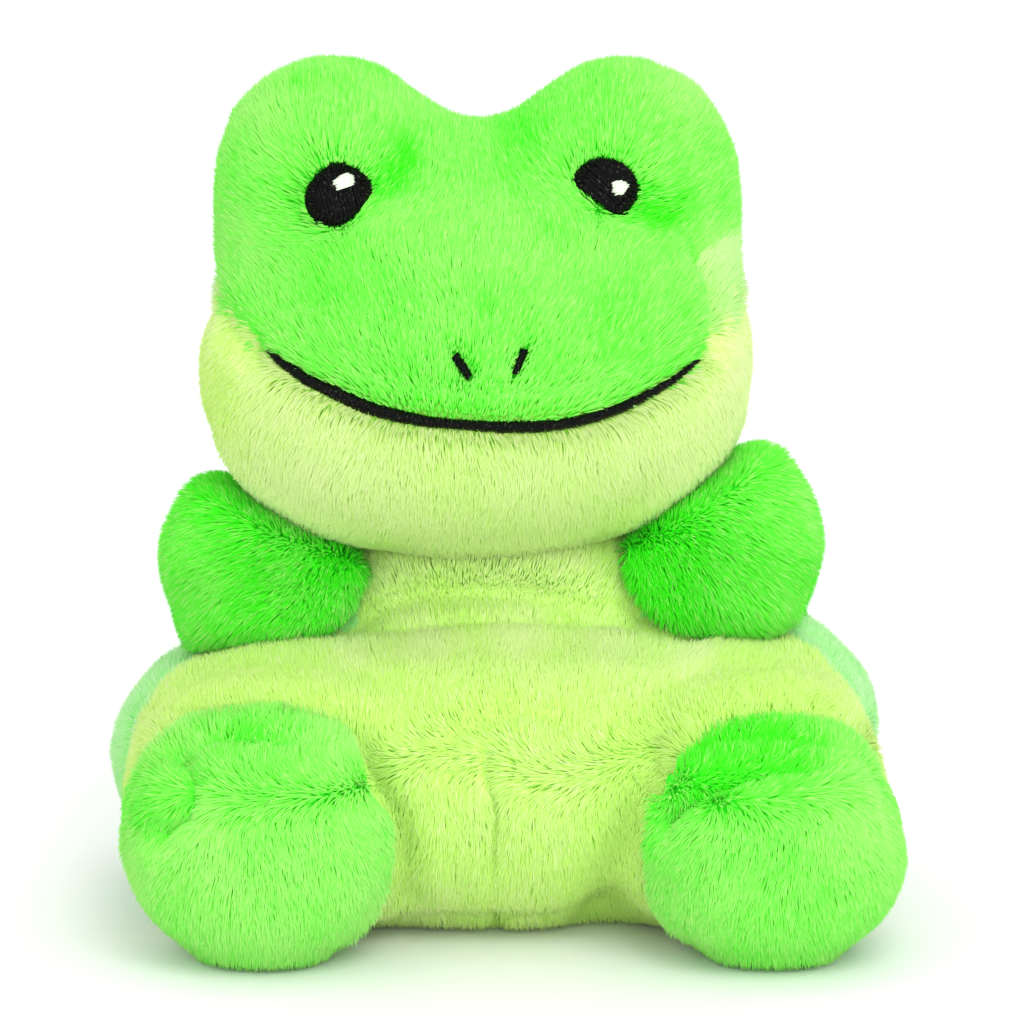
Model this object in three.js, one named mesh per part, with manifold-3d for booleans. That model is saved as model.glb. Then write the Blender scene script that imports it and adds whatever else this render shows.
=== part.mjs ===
// A palm-sized plush frog, sitting on its bean-filled seat with its feet forward.
// Millimetres, +Z up. The toy faces -Y, and its own left hand is on +X.
// The origin is on the table, under the middle of the whole toy.
//
// Each stuffed part (torso, head, arms, feet) is one swelling form, described by a few round
// swells that melt into each other. The sewn panels are shells cut from that form, and the
// stuffing is the same form, drawn in by the thickness of the fabric.
import * as THREE from "three";
import { mergeVertices } from "three/addons/utils/BufferGeometryUtils.js";
import Module from "manifold-3d";

const wasm = await Module();
wasm.setup();

// Driving dimensions of the fabric and the sewing
const plushThickness = 3; // knitted backing with its pile pressed down
const seamGap = 0.3; // between two sewn panels, and round every piece that is let in
const fillGap = 0.6; // between a panel's back and its stuffing
const flatDepth = 0.5; // how far the toy's own weight flattens it on the table
const overrun = 5; // how far a cutting tool runs past what it cuts
const reach = 160; // longer than the toy, for cutting tools that take away one whole side
const searchStep = 2; // when looking for a form's surface from outside

// Torso: a wide seat with short legs forward, and a narrow chest
const torsoCentre = [0, -2, 25];
const seat = { at: [-0.1, 3, 20], radii: [56.1, 33, 20], power: 2.7 };
const haunches = { at: [0.4, 3, 24], radii: [53.1, 29, 19], power: 2.3 };
const lap = { at: [1, -17, 20.5], radii: [40, 20.5, 19.1], power: 2.5 };
const leftThigh = { at: [36, -21, 20.5], radii: [19.5, 20, 20], power: 2.3 };
const rightThigh = { at: [-33, -21, 20.5], radii: [19.5, 20, 20], power: 2.3 };
const leftHaunch = { at: [37, 5, 26.5], radii: [17, 22, 16], power: 2.3 };
const chest = { at: [1, 5.5, 43], radii: [26, 19.5, 22], power: 2.2 };
const torsoMelt = 2.2;
const bellySeamAtFloor = -31; // where the plane of the belly seam meets the table
const bellySeamRakeShare = 0.6; // how far that plane comes back for each millimetre of height
const pouchTop = 16; // height of the pellet pouch in the seat
const turningSlitLength = 26; // the opening that the toy was stuffed through
const turningSlitWidth = 0.8;
const turningSlitHeight = 27; // of its middle, above the table
const closingThread = 0.8; // diameter of the thread that closes it
const closingStitches = 4;
const closingStitchWidth = 1.9;
const knotShare = 1.1; // a thread's end knot, over the thread's own thickness

// Head, in its own frame: the origin is at the neck seam
const neckAt = [-3, 2, 57.5];
const headTurn = 5; // degrees to the toy's left
const headCentre = [0, -6, 28];
const jaw = { at: [-1.3, -7, 22.5], radii: [40.3, 28, 26.5], power: 2.2 };
const skull = { at: [0, -4, 33], radii: [36, 26, 23.5], power: 2.2 };
const muzzle = { at: [0, -15, 24], radii: [27, 20.5, 20], power: 2.1 };
const leftDome = { at: [20.5, -4, 47], radii: [18, 17.5, 20.5], power: 2.1 };
const rightDome = { at: [-20.8, -4, 47], radii: [18.2, 17.5, 20.5], power: 2.25 };
const headMelt = 1.8;
const mouthHeight = 18.4; // of the mouth seam at the front of the muzzle, above the neck seam
const mouthRise = 16; // how much higher the seam is where it meets the side seam
const mouthEnds = [-59, 54]; // degrees round the head, from the front
const mouthThread = 1.5; // diameter of the stitched mouth line
const sideSeamDepth = 3; // of the seam from cheek to cheek over the domes, behind the neck
const neckHole = 12; // radius of the opening that the two necks are sewn together at

// The embroidered face: places are across and up, as seen from the front
const eyeRadius = 4.7;
const eyeThickness = 2.4;
const eyeStandsProud = 0.9;
const leftEyeAt = [17.2, 50.2];
const rightEyeAt = [-21.4, 49.4];
const glintRadii = [1.9, 1.2];
const glintThickness = 0.8;
const leftGlintOffset = [1.8, 0.1];
const rightGlintOffset = [0.6, 1.8];
const nostrilRadius = 0.7;
const nostrilLength = 2.6;
const nostrilSink = 0.1;
const nostrilRises = [9.1, 8.6]; // of the left and the right nostril above the mouth seam
const leftNostrilAt = [4, mouthHeight + nostrilRises[0]];
const rightNostrilAt = [-4.6, mouthHeight + nostrilRises[1]];
const nostrilTilt = 24; // degrees from upright, tops outwards
const glintTilt = 20;

// Arms, in frames of their own: the origin is at the shoulder seam, and the arm points to +X
const shoulder = { at: [3, 0, 0], radii: [10, 9, 11.5], power: 2 };
const mitt = { at: [16.5, 0, -1.2], radii: [14.8, 12.5, 16.3], power: 2.3 };
const armCentre = [12, 0, 0];
const armMelt = 2;
const armSeamDepth = -2; // of the seam round the mitt, from the arm's own middle
const leftShoulderAt = [17, -2, 52.5];
const rightShoulderAt = [-19, -2, 51];
const leftArmRaise = 4; // degrees, tip up
const rightArmRaise = -1;
const armForward = 8; // degrees, tip towards the front
const armSwing = [-12, 18]; // degrees that the shoulder seam lets it swing, back and forward

// Feet, in frames of their own: the origin is under the ankle
const footCentre = [0, -14, 17];
const heel = { at: [0, -8, 17], radii: [18, 17, 16.5], power: 2.2 };
const toes = { at: [0, -15.5, 17.6], radii: [19.3, 16.5, 17.8], power: 2.3 };
const footMelt = 2;
const footSeamAtFloor = 1; // where the plane of the foot's seam meets the table
const footSeamRakeShare = 0.7; // how far that plane comes forward for each millimetre of height
const leftAnkleAt = [38, -23];
const rightAnkleAt = [-32, -23];
const footTurnOut = 4; // degrees
const footSplay = 8; // degrees that the ankle seam lets it swing either way

const headTwist = 10; // degrees that the neck seam lets the head turn either way

// Counts: how finely a form is faceted (an icosahedron's sides are cut in this many, plus one),
// how many places stand for a swing, and the sides and steps of the small pieces
const largeFacets = 5;
const smallFacets = 3;
const largeFillFacets = 2;
const smallFillFacets = 1;
const sweepSteps = 3;
const lensSides = 14;
const neckSides = 10;
const threadSides = 5;
const capRings = 2;
const mouthSteps = 20;
const seamSteps = 6;
const searchRounds = 24;

// Materials, coloured as the toy is
const plush = (color) => new THREE.MeshStandardMaterial({ color, roughness: 0.95, metalness: 0 });
const greenPlush = plush("#5fe03c");
const limePlush = plush("#c3f57e");
const fibre = plush("#f4f4ee");
const pouchCloth = plush("#e8e6dc");
const blackThread = new THREE.MeshStandardMaterial({ color: "#16140f", roughness: 0.55, metalness: 0 });
const whiteThread = new THREE.MeshStandardMaterial({ color: "#eef3e8", roughness: 0.5, metalness: 0 });
const greenThread = new THREE.MeshStandardMaterial({ color: "#4cc12f", roughness: 0.6, metalness: 0 });

// The melting forms

// How far a point is outside one swell, measured from the swell's middle.
function outside(swell, point) {
  const from = point.map((value, axis) => value - swell.at[axis]);
  const scaled = from.map((value, axis) => Math.abs(value / swell.radii[axis]) ** swell.power);
  const share = (scaled[0] + scaled[1] + scaled[2]) ** (1 / swell.power);
  return Math.hypot(...from) * (1 - 1 / Math.max(share, Number.EPSILON));
}

// How far a point is outside swells that melt together.
function outsideAll(form, point) {
  const near = form.swells.map((swell) => outside(swell, point));
  const nearest = Math.min(...near);
  const sum = near.reduce((total, value) => total + Math.exp((nearest - value) / form.melt), 0);
  return nearest - form.melt * Math.log(sum);
}

// The distance from a start inside the form to its surface, drawn in by an inset.
function distanceToSurface(form, start, direction, inset = 0) {
  const at = (distance) => start.map((value, axis) => value + direction[axis] * distance);
  let far = reach;
  while (far > searchStep && outsideAll(form, at(far - searchStep)) > -inset) far -= searchStep;
  let near = Math.max(far - searchStep, 0);
  for (let round = 0; round < searchRounds; round++) {
    const middle = (near + far) / 2;
    if (outsideAll(form, at(middle)) > -inset) far = middle;
    else near = middle;
  }
  return near;
}

function surfacePoint(form, start, direction, inset = 0) {
  const distance = distanceToSurface(form, start, direction, inset);
  return new THREE.Vector3(...start).addScaledVector(new THREE.Vector3(...direction), distance);
}

function surfaceNormal(form, point) {
  const step = searchStep / reach;
  const slope = [0, 1, 2].map((axis) => {
    const ahead = point.toArray();
    const behind = point.toArray();
    ahead[axis] += step;
    behind[axis] -= step;
    return outsideAll(form, ahead) - outsideAll(form, behind);
  });
  return new THREE.Vector3(...slope).normalize();
}

// Solids

function solidOf(geometry) {
  const bare = geometry.clone();
  bare.deleteAttribute("normal");
  bare.deleteAttribute("uv");
  const merged = mergeVertices(bare);
  return new wasm.Manifold(
    new wasm.Mesh({
      numProp: 3,
      vertProperties: merged.attributes.position.array,
      triVerts: new Uint32Array(merged.index.array),
    }),
  );
}

// A form as a solid: an even ball whose points are pushed out to the form's surface.
function formSolid(form, facets, inset = 0) {
  const ball = new THREE.IcosahedronGeometry(1, facets);
  const place = ball.attributes.position;
  for (let i = 0; i < place.count; i++) {
    const direction = new THREE.Vector3().fromBufferAttribute(place, i).normalize().toArray();
    place.setXYZ(i, ...surfacePoint(form, form.centre, direction, inset).toArray());
  }
  return solidOf(ball);
}

// A huge block on the far side of a plane, for taking away everything there.
function sideOf(point, normal) {
  const block = new THREE.BoxGeometry(reach + reach, reach + reach, reach);
  block.translate(0, 0, reach / 2);
  const facing = normal.clone().normalize();
  const turn = new THREE.Quaternion().setFromUnitVectors(new THREE.Vector3(0, 0, 1), facing);
  block.applyQuaternion(turn);
  return solidOf(block.translate(point.x, point.y, point.z));
}

// Splits a shell along a plane, with half a seam gap on each side.
function splitAt(solid, point, normal) {
  const half = normal.clone().normalize().multiplyScalar(seamGap / 2);
  return {
    ahead: solid.subtract(sideOf(point.clone().sub(half.clone().negate()), normal.clone().negate())),
    behind: solid.subtract(sideOf(point.clone().sub(half), normal)),
  };
}

// How high a form's frame stands when its own weight presses the form flat on the table.
function restHeight(form, facets) {
  return -formSolid(form, facets).boundingBox().min[2] - flatDepth;
}

// Takes away what is below a level.
function above(solid, level) {
  return solid.subtract(sideOf(new THREE.Vector3(0, 0, level), new THREE.Vector3(0, 0, -1)));
}

// Moves a solid from one group's frame to another's.
function carried(solid, from, to) {
  from.updateMatrixWorld(true);
  to.updateMatrixWorld(true);
  return solid.transform(to.matrixWorld.clone().invert().multiply(from.matrixWorld).toArray());
}

// Everything that a solid passes through as it turns about Z, at the frame's origin.
function swept(solid, lowest, highest) {
  const places = Array.from({ length: sweepSteps + 1 }, (_, i) => {
    const share = i / sweepSteps;
    return solid.rotate([0, 0, lowest + (highest - lowest) * share]);
  });
  return wasm.Manifold.union(places);
}

// All on a solid's side of the plane that touches it where it bulges furthest along a normal.
function besideTouching(solid, normal) {
  const made = solid.getMesh();
  let furthest = -reach;
  for (let i = 0; i < made.numVert; i++) {
    const point = new THREE.Vector3().fromArray(made.vertProperties, i * made.numProp);
    furthest = Math.max(furthest, point.dot(normal));
  }
  return sideOf(normal.clone().multiplyScalar(furthest), normal.clone().negate());
}

// The one large body of a solid, without the crumbs that grazing cuts leave beside it.
function largestBody(solid) {
  const bodies = solid.decompose();
  return bodies.reduce((largest, body) => (body.volume() > largest.volume() ? body : largest));
}

function addPiece(group, name, solid, material) {
  const made = largestBody(solid).getMesh();
  const geometry = new THREE.BufferGeometry();
  const positions = new Float32Array(made.numVert * 3);
  for (let i = 0; i < made.numVert; i++) {
    positions.set(made.vertProperties.subarray(i * made.numProp, i * made.numProp + 3), i * 3);
  }
  geometry.setAttribute("position", new THREE.BufferAttribute(positions, 3));
  geometry.setIndex(new THREE.BufferAttribute(new Uint32Array(made.triVerts), 1));
  geometry.computeVertexNormals();
  const mesh = new THREE.Mesh(geometry, material);
  mesh.name = name;
  group.add(mesh);
}

// A round thread along a list of points, with a knot at each end.
function threadAlong(points, radius, steps) {
  const section = new THREE.Shape();
  for (let side = 0; side < threadSides; side++) {
    const turn = (2 * Math.PI * side) / threadSides;
    const corner = [radius * Math.cos(turn), radius * Math.sin(turn)];
    if (side) section.lineTo(...corner);
    else section.moveTo(...corner);
  }
  section.closePath();
  const extrudePath = new THREE.CatmullRomCurve3(points);
  const knots = [points[0], points[points.length - 1]].map((point) => {
    return solidOf(new THREE.IcosahedronGeometry(radius * knotShare).translate(...point.toArray()));
  });
  return solidOf(new THREE.ExtrudeGeometry(section, { steps, extrudePath })).add(knots[0]).add(knots[1]);
}

// A stitched patch: a lens with a domed face, its back towards -Z of its own frame.
function lens(radii, thickness) {
  const rim = thickness / 3;
  const points = [
    new THREE.Vector2(0, -thickness),
    new THREE.Vector2(1, -thickness),
    new THREE.Vector2(1, -rim),
    new THREE.Vector2(Math.cos(Math.PI / 6), -rim / 3),
    new THREE.Vector2(1 / 2, 0),
    new THREE.Vector2(0, 0),
  ];
  const geometry = new THREE.LatheGeometry(points, lensSides);
  geometry.rotateX(Math.PI / 2);
  geometry.scale(radii[0], radii[1], 1);
  return solidOf(geometry);
}

// Sets a solid on a form's front, its own +Z along the surface's normal.
function placedOnFront(solid, form, at, proud, tilt = 0) {
  const spot = surfacePoint(form, [at[0], form.centre[1], at[1]], [0, -1, 0]);
  const normal = surfaceNormal(form, spot);
  const across = new THREE.Vector3(1, 0, 0).cross(normal).normalize();
  const side = across.clone().cross(normal).negate();
  const frame = new THREE.Matrix4().makeBasis(side, normal.clone().cross(side), normal);
  frame.multiply(new THREE.Matrix4().makeRotationZ(THREE.MathUtils.degToRad(tilt)));
  frame.setPosition(spot.addScaledVector(normal, proud));
  return solid.transform(frame.toArray());
}

function groupAt(place, turns = [0, 0, 0]) {
  const group = new THREE.Group();
  group.position.set(...place);
  group.rotation.set(...turns.map(THREE.MathUtils.degToRad));
  return group;
}

// The forms and their frames
const torsoForm = {
  swells: [seat, haunches, leftHaunch, lap, leftThigh, rightThigh, chest],
  melt: torsoMelt,
  centre: torsoCentre,
};
const headForm = { swells: [jaw, skull, muzzle, leftDome, rightDome], melt: headMelt, centre: headCentre };
const armForm = { swells: [shoulder, mitt], melt: armMelt, centre: armCentre };
const footForm = { swells: [heel, toes], melt: footMelt, centre: footCentre };

const toy = new THREE.Group();
const torsoRest = restHeight(torsoForm, largeFacets);
const footRest = restHeight(footForm, smallFacets);
const torsoGroup = groupAt([0, 0, torsoRest]);
const headGroup = groupAt(neckAt, [0, 0, headTurn]);
const leftArmGroup = groupAt(leftShoulderAt, [0, -leftArmRaise, -armForward]);
const rightArmGroup = groupAt(rightShoulderAt, [0, rightArmRaise, 180 + armForward]);
const leftFootGroup = groupAt([...leftAnkleAt, footRest], [0, 0, footTurnOut]);
const rightFootGroup = groupAt([...rightAnkleAt, footRest], [0, 0, -footTurnOut]);
toy.add(torsoGroup, headGroup, leftArmGroup, rightArmGroup, leftFootGroup, rightFootGroup);

// A frame at a joint, with its Z upright: limbs and head turn about it.
function uprightAt(group) {
  const upright = new THREE.Group();
  upright.position.copy(group.position);
  return upright;
}

const headSolid = formSolid(headForm, largeFacets);
const torsoWithRoom = carried(formSolid(torsoForm, largeFacets, -seamGap), torsoGroup, toy);

// All that the head passes through as it turns on its neck, with room round it, in the toy's frame.
function headPassing() {
  const upright = uprightAt(headGroup);
  const head = carried(formSolid(headForm, largeFacets, -seamGap), headGroup, upright);
  return carried(swept(head, -headTwist, headTwist), upright, toy);
}

const headClearance = headPassing();

// Torso: belly panel, back panel, stuffing and pellet pouch

// The torso drawn in by an inset, and as far under the head and above the table.
function torsoInside(facets, inset) {
  const drawnIn = above(formSolid(torsoForm, facets, inset), inset - torsoRest);
  const underHead = carried(headClearance.translate([0, 0, -inset]), toy, torsoGroup);
  return drawnIn.subtract(underHead);
}

function buildTorso() {
  const neck = new THREE.CylinderGeometry(neckHole, neckHole, reach, neckSides).rotateX(Math.PI / 2);
  neck.translate(neckAt[0], neckAt[1], neckAt[2] - torsoRest + reach / 2 - overrun);
  const shell = torsoInside(largeFacets, 0).subtract(torsoInside(largeFillFacets, plushThickness));
  const seamPoint = new THREE.Vector3(0, bellySeamAtFloor, -torsoRest);
  const panels = splitAt(shell.subtract(solidOf(neck)), seamPoint, new THREE.Vector3(0, -1, bellySeamRakeShare));
  addPiece(torsoGroup, "belly_panel", panels.ahead, limePlush);

  const slit = new THREE.BoxGeometry(turningSlitWidth, reach / 2, turningSlitLength);
  const slitTool = solidOf(slit.translate(0, reach / 4, turningSlitHeight));
  const stitchRoom = closingStitch(closingThread / 2 + seamGap);
  addPiece(torsoGroup, "back_panel", panels.behind.subtract(slitTool).subtract(stitchRoom), greenPlush);
  addPiece(torsoGroup, "closing_stitch", closingStitch(closingThread / 2), greenThread);

  const filling = torsoInside(largeFillFacets, plushThickness + fillGap);
  const halves = splitAt(filling, new THREE.Vector3(0, 0, pouchTop), new THREE.Vector3(0, 0, 1));
  addPiece(torsoGroup, "body_stuffing", halves.ahead, fibre);
  addPiece(torsoGroup, "pellet_pouch", halves.behind, pouchCloth);
}

// The thread that zigzags across the closed opening in the back.
function closingStitch(radius) {
  const count = closingStitches * 2 + 1;
  const points = Array.from({ length: count }, (_, i) => {
    const share = i / (count - 1) - 1 / 2;
    const across = (i % 2 ? 1 : -1) * (closingStitchWidth / 2);
    const start = [across, torsoCentre[1], turningSlitHeight + share * turningSlitLength];
    return surfacePoint(torsoForm, start, [0, 1, 0], closingThread / 2);
  });
  return threadAlong(points, radius, count * 2);
}

// Head: three panels, stuffing and the embroidered face

const mouthFront = surfacePoint(headForm, [0, headCentre[1], mouthHeight], [0, -1, 0]).y;

// The mouth seam climbs steeply at the lips and levels out where it meets the side seam.
function mouthSeamHeight(depth) {
  const left = Math.min(Math.max((sideSeamDepth - depth) / (sideSeamDepth - mouthFront), 0), 1);
  return mouthHeight + mouthRise * (1 - left * left);
}

// All that lies under the mouth seam, raised by a lift.
function underMouthSeam(lift) {
  const profile = new THREE.Shape();
  profile.moveTo(reach, -reach);
  profile.lineTo(-reach, -reach);
  profile.lineTo(-reach, mouthHeight + lift);
  for (let i = 0; i <= seamSteps; i++) {
    const depth = mouthFront + ((sideSeamDepth - mouthFront) * i) / seamSteps;
    profile.lineTo(depth, mouthSeamHeight(depth) + lift);
  }
  profile.lineTo(reach, mouthHeight + mouthRise + lift);
  profile.closePath();
  const block = new THREE.ExtrudeGeometry(profile, { depth: reach, bevelEnabled: false });
  block.rotateX(Math.PI / 2).rotateZ(Math.PI / 2);
  return solidOf(block.translate(-reach / 2, 0, 0));
}

// A point of the mouth seam, this many degrees round the head from its front.
function mouthPoint(degrees) {
  const turn = THREE.MathUtils.degToRad(degrees);
  const direction = [Math.sin(turn), -Math.cos(turn), 0];
  let height = mouthHeight;
  let point = null;
  for (let round = 0; round < searchRounds; round++) {
    point = surfacePoint(headForm, [0, headCentre[1], height], direction, seamGap);
    height = mouthSeamHeight(point.y);
  }
  return point;
}

function mouthLine(radius) {
  const count = mouthSteps / 2 + 1;
  const points = Array.from({ length: count }, (_, i) => {
    return mouthPoint(THREE.MathUtils.lerp(mouthEnds[0], mouthEnds[1], i / (count - 1)));
  });
  return threadAlong(points, radius, mouthSteps);
}

// One eye: a satin-stitched patch, its glint, and the room for both in the face.
function buildEye(name, at, offset) {
  const patch = (grow) => lens([eyeRadius + grow, eyeRadius + grow], eyeThickness + grow);
  const glint = (grow) =>
    lens([glintRadii[0] + grow, glintRadii[1] + grow], glintThickness + grow)
      .rotate([0, 0, glintTilt])
      .translate([...offset, glintThickness / 2]);
  const onEye = (solid) => placedOnFront(solid, headForm, at, eyeStandsProud);
  addPiece(headGroup, `${name}_eye`, onEye(patch(0).subtract(glint(seamGap))), blackThread);
  addPiece(headGroup, `${name}_eye_glint`, onEye(glint(0)), whiteThread);
  return onEye(patch(seamGap).add(patch(seamGap).translate([0, 0, overrun])));
}

// One nostril: a short stitched bar, and the room for it in the face.
function buildNostril(name, at, tilt) {
  const bar = (grow) => {
    const capsule = new THREE.CapsuleGeometry(nostrilRadius + grow, nostrilLength, capRings, threadSides);
    return placedOnFront(solidOf(capsule), headForm, at, -nostrilSink, tilt);
  };
  addPiece(headGroup, `${name}_nostril`, bar(0), blackThread);
  return bar(seamGap);
}

function buildHead() {
  const neck = new THREE.CylinderGeometry(neckHole, neckHole, reach, neckSides).rotateX(Math.PI / 2);
  const neckTool = solidOf(neck.translate(0, 0, overrun - reach / 2));
  const inside = formSolid(headForm, largeFillFacets, plushThickness);
  const mouthRoom = mouthLine(mouthThread / 2 + seamGap);
  const shell = headSolid.subtract(inside).subtract(neckTool).subtract(mouthRoom);
  const sides = splitAt(shell, new THREE.Vector3(0, sideSeamDepth, 0), new THREE.Vector3(0, -1, 0));
  const steepest = Math.hypot(1, (2 * mouthRise) / (sideSeamDepth - mouthFront));
  const lift = (seamGap / 2) * steepest;
  const rooms = [
    buildEye("left", leftEyeAt, leftGlintOffset),
    buildEye("right", rightEyeAt, rightGlintOffset),
    buildNostril("left", leftNostrilAt, -nostrilTilt),
    buildNostril("right", rightNostrilAt, nostrilTilt),
  ];
  const face = rooms.reduce((solid, room) => solid.subtract(room), sides.ahead.subtract(underMouthSeam(lift)));
  addPiece(headGroup, "mouth_stitch", mouthLine(mouthThread / 2), blackThread);
  addPiece(headGroup, "head_top_panel", face, greenPlush);
  addPiece(headGroup, "chin_panel", sides.ahead.intersect(underMouthSeam(-lift)), limePlush);
  addPiece(headGroup, "head_back_panel", sides.behind, greenPlush);
  addPiece(headGroup, "head_stuffing", formSolid(headForm, largeFillFacets, plushThickness + fillGap), fibre);
}

// All that a solid of the toy's frame passes through beside a limb that swings.
function passingBeside(solid, group, swing) {
  const upright = uprightAt(group);
  return carried(swept(carried(solid, toy, upright), -swing[1], -swing[0]), upright, group);
}

// Limbs: each is its form, less all that the larger parts take of it as it swings, in two panels
function buildLimb({ group, form, names, tool, seam, materials, rest }) {
  const drawnIn = (facets, inset) => above(formSolid(form, facets, inset), inset - rest);
  const shell = drawnIn(smallFacets, 0).subtract(drawnIn(smallFillFacets, plushThickness)).subtract(tool);
  const panels = splitAt(shell, seam.point, seam.normal);
  const filling = drawnIn(smallFillFacets, plushThickness + fillGap).subtract(tool);
  addPiece(group, names[0], panels.ahead, materials[0]);
  addPiece(group, names[1], panels.behind, materials[0]);
  addPiece(group, names[2], filling, materials[1]);
}

// Which way the head's underside faces above an arm, in the arm's frame.
function undersideNormal(group) {
  const mittMiddle = headGroup.worldToLocal(group.localToWorld(new THREE.Vector3(...mitt.at)));
  const direction = mittMiddle.sub(new THREE.Vector3(...headCentre)).normalize();
  const normal = surfaceNormal(headForm, surfacePoint(headForm, headCentre, direction.toArray()));
  return normal.transformDirection(headGroup.matrixWorld).transformDirection(group.matrixWorld.clone().invert());
}

// The arms lie flat against the head's underside, so that it glides over them.
function buildArms() {
  const shared = { form: armForm, materials: [greenPlush, fibre], rest: reach };
  const names = (side) => [`${side}_arm_front_panel`, `${side}_arm_back_panel`, `${side}_arm_stuffing`];
  for (const { side, group, turned } of [
    { side: "left", group: leftArmGroup, turned: 1 },
    { side: "right", group: rightArmGroup, turned: -1 },
  ]) {
    const seam = {
      point: new THREE.Vector3(0, turned * armSeamDepth, 0),
      normal: new THREE.Vector3(0, -turned, 0),
    };
    const swing = turned > 0 ? armSwing.map((angle) => -angle).reverse() : armSwing;
    const head = besideTouching(passingBeside(headClearance, group, swing), undersideNormal(group));
    const tool = passingBeside(torsoWithRoom, group, swing).add(head);
    buildLimb({ ...shared, group, names: names(side), tool, seam });
  }
}

function buildFeet() {
  const seam = {
    point: new THREE.Vector3(0, footSeamAtFloor, -footRest),
    normal: new THREE.Vector3(0, -1, -footSeamRakeShare),
  };
  const swing = [-footSplay, footSplay];
  const materials = [greenPlush, pouchCloth];
  const shared = { form: footForm, seam, materials, rest: footRest };
  const names = (side) => [`${side}_foot_front_panel`, `${side}_foot_top_panel`, `${side}_foot_pellets`];
  for (const { side, group } of [
    { side: "left", group: leftFootGroup },
    { side: "right", group: rightFootGroup },
  ]) {
    buildLimb({ ...shared, group, names: names(side), tool: passingBeside(torsoWithRoom, group, swing) });
  }
}

buildTorso();
buildHead();
buildArms();
buildFeet();

// Sets the middle of the toy over the origin.
const middle = new THREE.Box3().setFromObject(toy, true).getCenter(new THREE.Vector3());
toy.position.set(-middle.x, -middle.y, 0);

const frog = new THREE.Group();
frog.add(toy);

export default frog;
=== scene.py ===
# %% [markdown]
# # A palm-sized plush frog
#
# This lesson dresses the frog's measured solids as the real toy is made: knitted covers sewn from
# panels, pulled over a filling, with a deep soft pile, and a face embroidered in black thread.
# Everything is in metres, in the frame of the solids: +Z is up, and the frog faces -Y.

# %% Load the frame
import math

import bpy
import numpy as np
from mathutils import Matrix, Vector
from mathutils.bvhtree import BVHTree


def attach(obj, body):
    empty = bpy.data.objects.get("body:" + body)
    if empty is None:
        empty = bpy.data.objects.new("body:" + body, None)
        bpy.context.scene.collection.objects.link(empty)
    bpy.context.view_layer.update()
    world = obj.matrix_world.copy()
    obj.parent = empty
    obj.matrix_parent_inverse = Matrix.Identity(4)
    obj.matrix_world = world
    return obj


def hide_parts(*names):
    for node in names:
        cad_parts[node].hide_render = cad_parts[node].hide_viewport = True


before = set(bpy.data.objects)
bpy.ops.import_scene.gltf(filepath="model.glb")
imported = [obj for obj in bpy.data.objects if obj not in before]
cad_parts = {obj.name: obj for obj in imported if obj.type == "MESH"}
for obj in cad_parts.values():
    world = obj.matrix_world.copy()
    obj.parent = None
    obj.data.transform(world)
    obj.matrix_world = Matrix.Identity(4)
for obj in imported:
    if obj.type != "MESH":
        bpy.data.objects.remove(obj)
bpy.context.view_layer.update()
bpy.ops.object.select_all(action="DESELECT")
MM = 0.001

# %% [markdown]
# ## The camera
#
# The camera comes first, because the face and the creases are placed through it: a place that was
# measured in the 1024 pixel picture is a ray from the camera, and the ray meets the toy where the
# detail belongs. A long lens from 80 cm away, 11 degrees above the table, gives the flat view of a
# studio picture.

# %% Camera
PICTURE = 1024
AIM = Vector((0.845, 4.365, 58.0)) * MM
DISTANCE = 0.8
ELEVATION = math.radians(11)
FOCAL_PIXELS = 5504
SENSOR_MM = 36
FORWARD = Vector((0, math.cos(ELEVATION), -math.sin(ELEVATION)))
RIGHT = Vector((1, 0, 0))
UP = RIGHT.cross(FORWARD)

camera_data = bpy.data.cameras.new("camera")
camera_data.sensor_width = SENSOR_MM
camera_data.lens = SENSOR_MM * FOCAL_PIXELS / PICTURE
camera_data.clip_start, camera_data.clip_end = 0.05, 20
camera = bpy.data.objects.new("camera", camera_data)
camera.location = AIM - FORWARD * DISTANCE
camera.rotation_euler = FORWARD.to_track_quat("-Z", "Y").to_euler()
bpy.context.scene.collection.objects.link(camera)
bpy.context.scene.camera = camera
print("lens", round(camera_data.lens, 1), "mm")


def pixel_ray(across, down):
    """The direction of a pixel's ray from the camera."""
    middle = PICTURE / 2
    aside, lowered = RIGHT * (across - middle) / FOCAL_PIXELS, UP * (down - middle) / FOCAL_PIXELS
    return (FORWARD + aside - lowered).normalized()


# %% [markdown]
# ## Small helpers
#
# Colours are written as the hex values that a paint program shows, and one function turns them to
# the linear values that Blender's sockets take. Another adds a node to a material, with its
# settings and links, so that each material reads as a short list.

# %% Colour and node helpers
def linear(hex_colour):
    """sRGB hex to linear RGBA."""
    values = [int(hex_colour[i : i + 2], 16) / 255 for i in (1, 3, 5)]
    return [v / 12.92 if v <= 0.04045 else ((v + 0.055) / 1.055) ** 2.4 for v in values] + [1.0]


def link(material, source, output, target, socket):
    material.node_tree.links.new(source.outputs[output], target.inputs[socket])


def add_node(material, kind, links=(), **settings):
    """Adds one node. links are (this node's input, another node, its output)."""
    node = material.node_tree.nodes.new(kind)
    for key, value in settings.items():
        setattr(node, key, value)
    for socket, source, output in links:
        link(material, source, output, node, socket)
    return node


def set_inputs(node, values):
    for socket, value in values.items():
        node.inputs[socket].default_value = value


def add_ramp(material, source, output, stops):
    """Adds a colour ramp with its stops, as (place, hex colour)."""
    ramp = add_node(material, "ShaderNodeValToRGB", [("Fac", source, output)])
    elements = ramp.color_ramp.elements
    while len(elements) > 1:
        elements.remove(elements[-1])
    elements[0].position, elements[0].color = stops[0][0], linear(stops[0][1])
    for place, colour in stops[1:]:
        elements.new(place).color = linear(colour)
    return ramp


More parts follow.
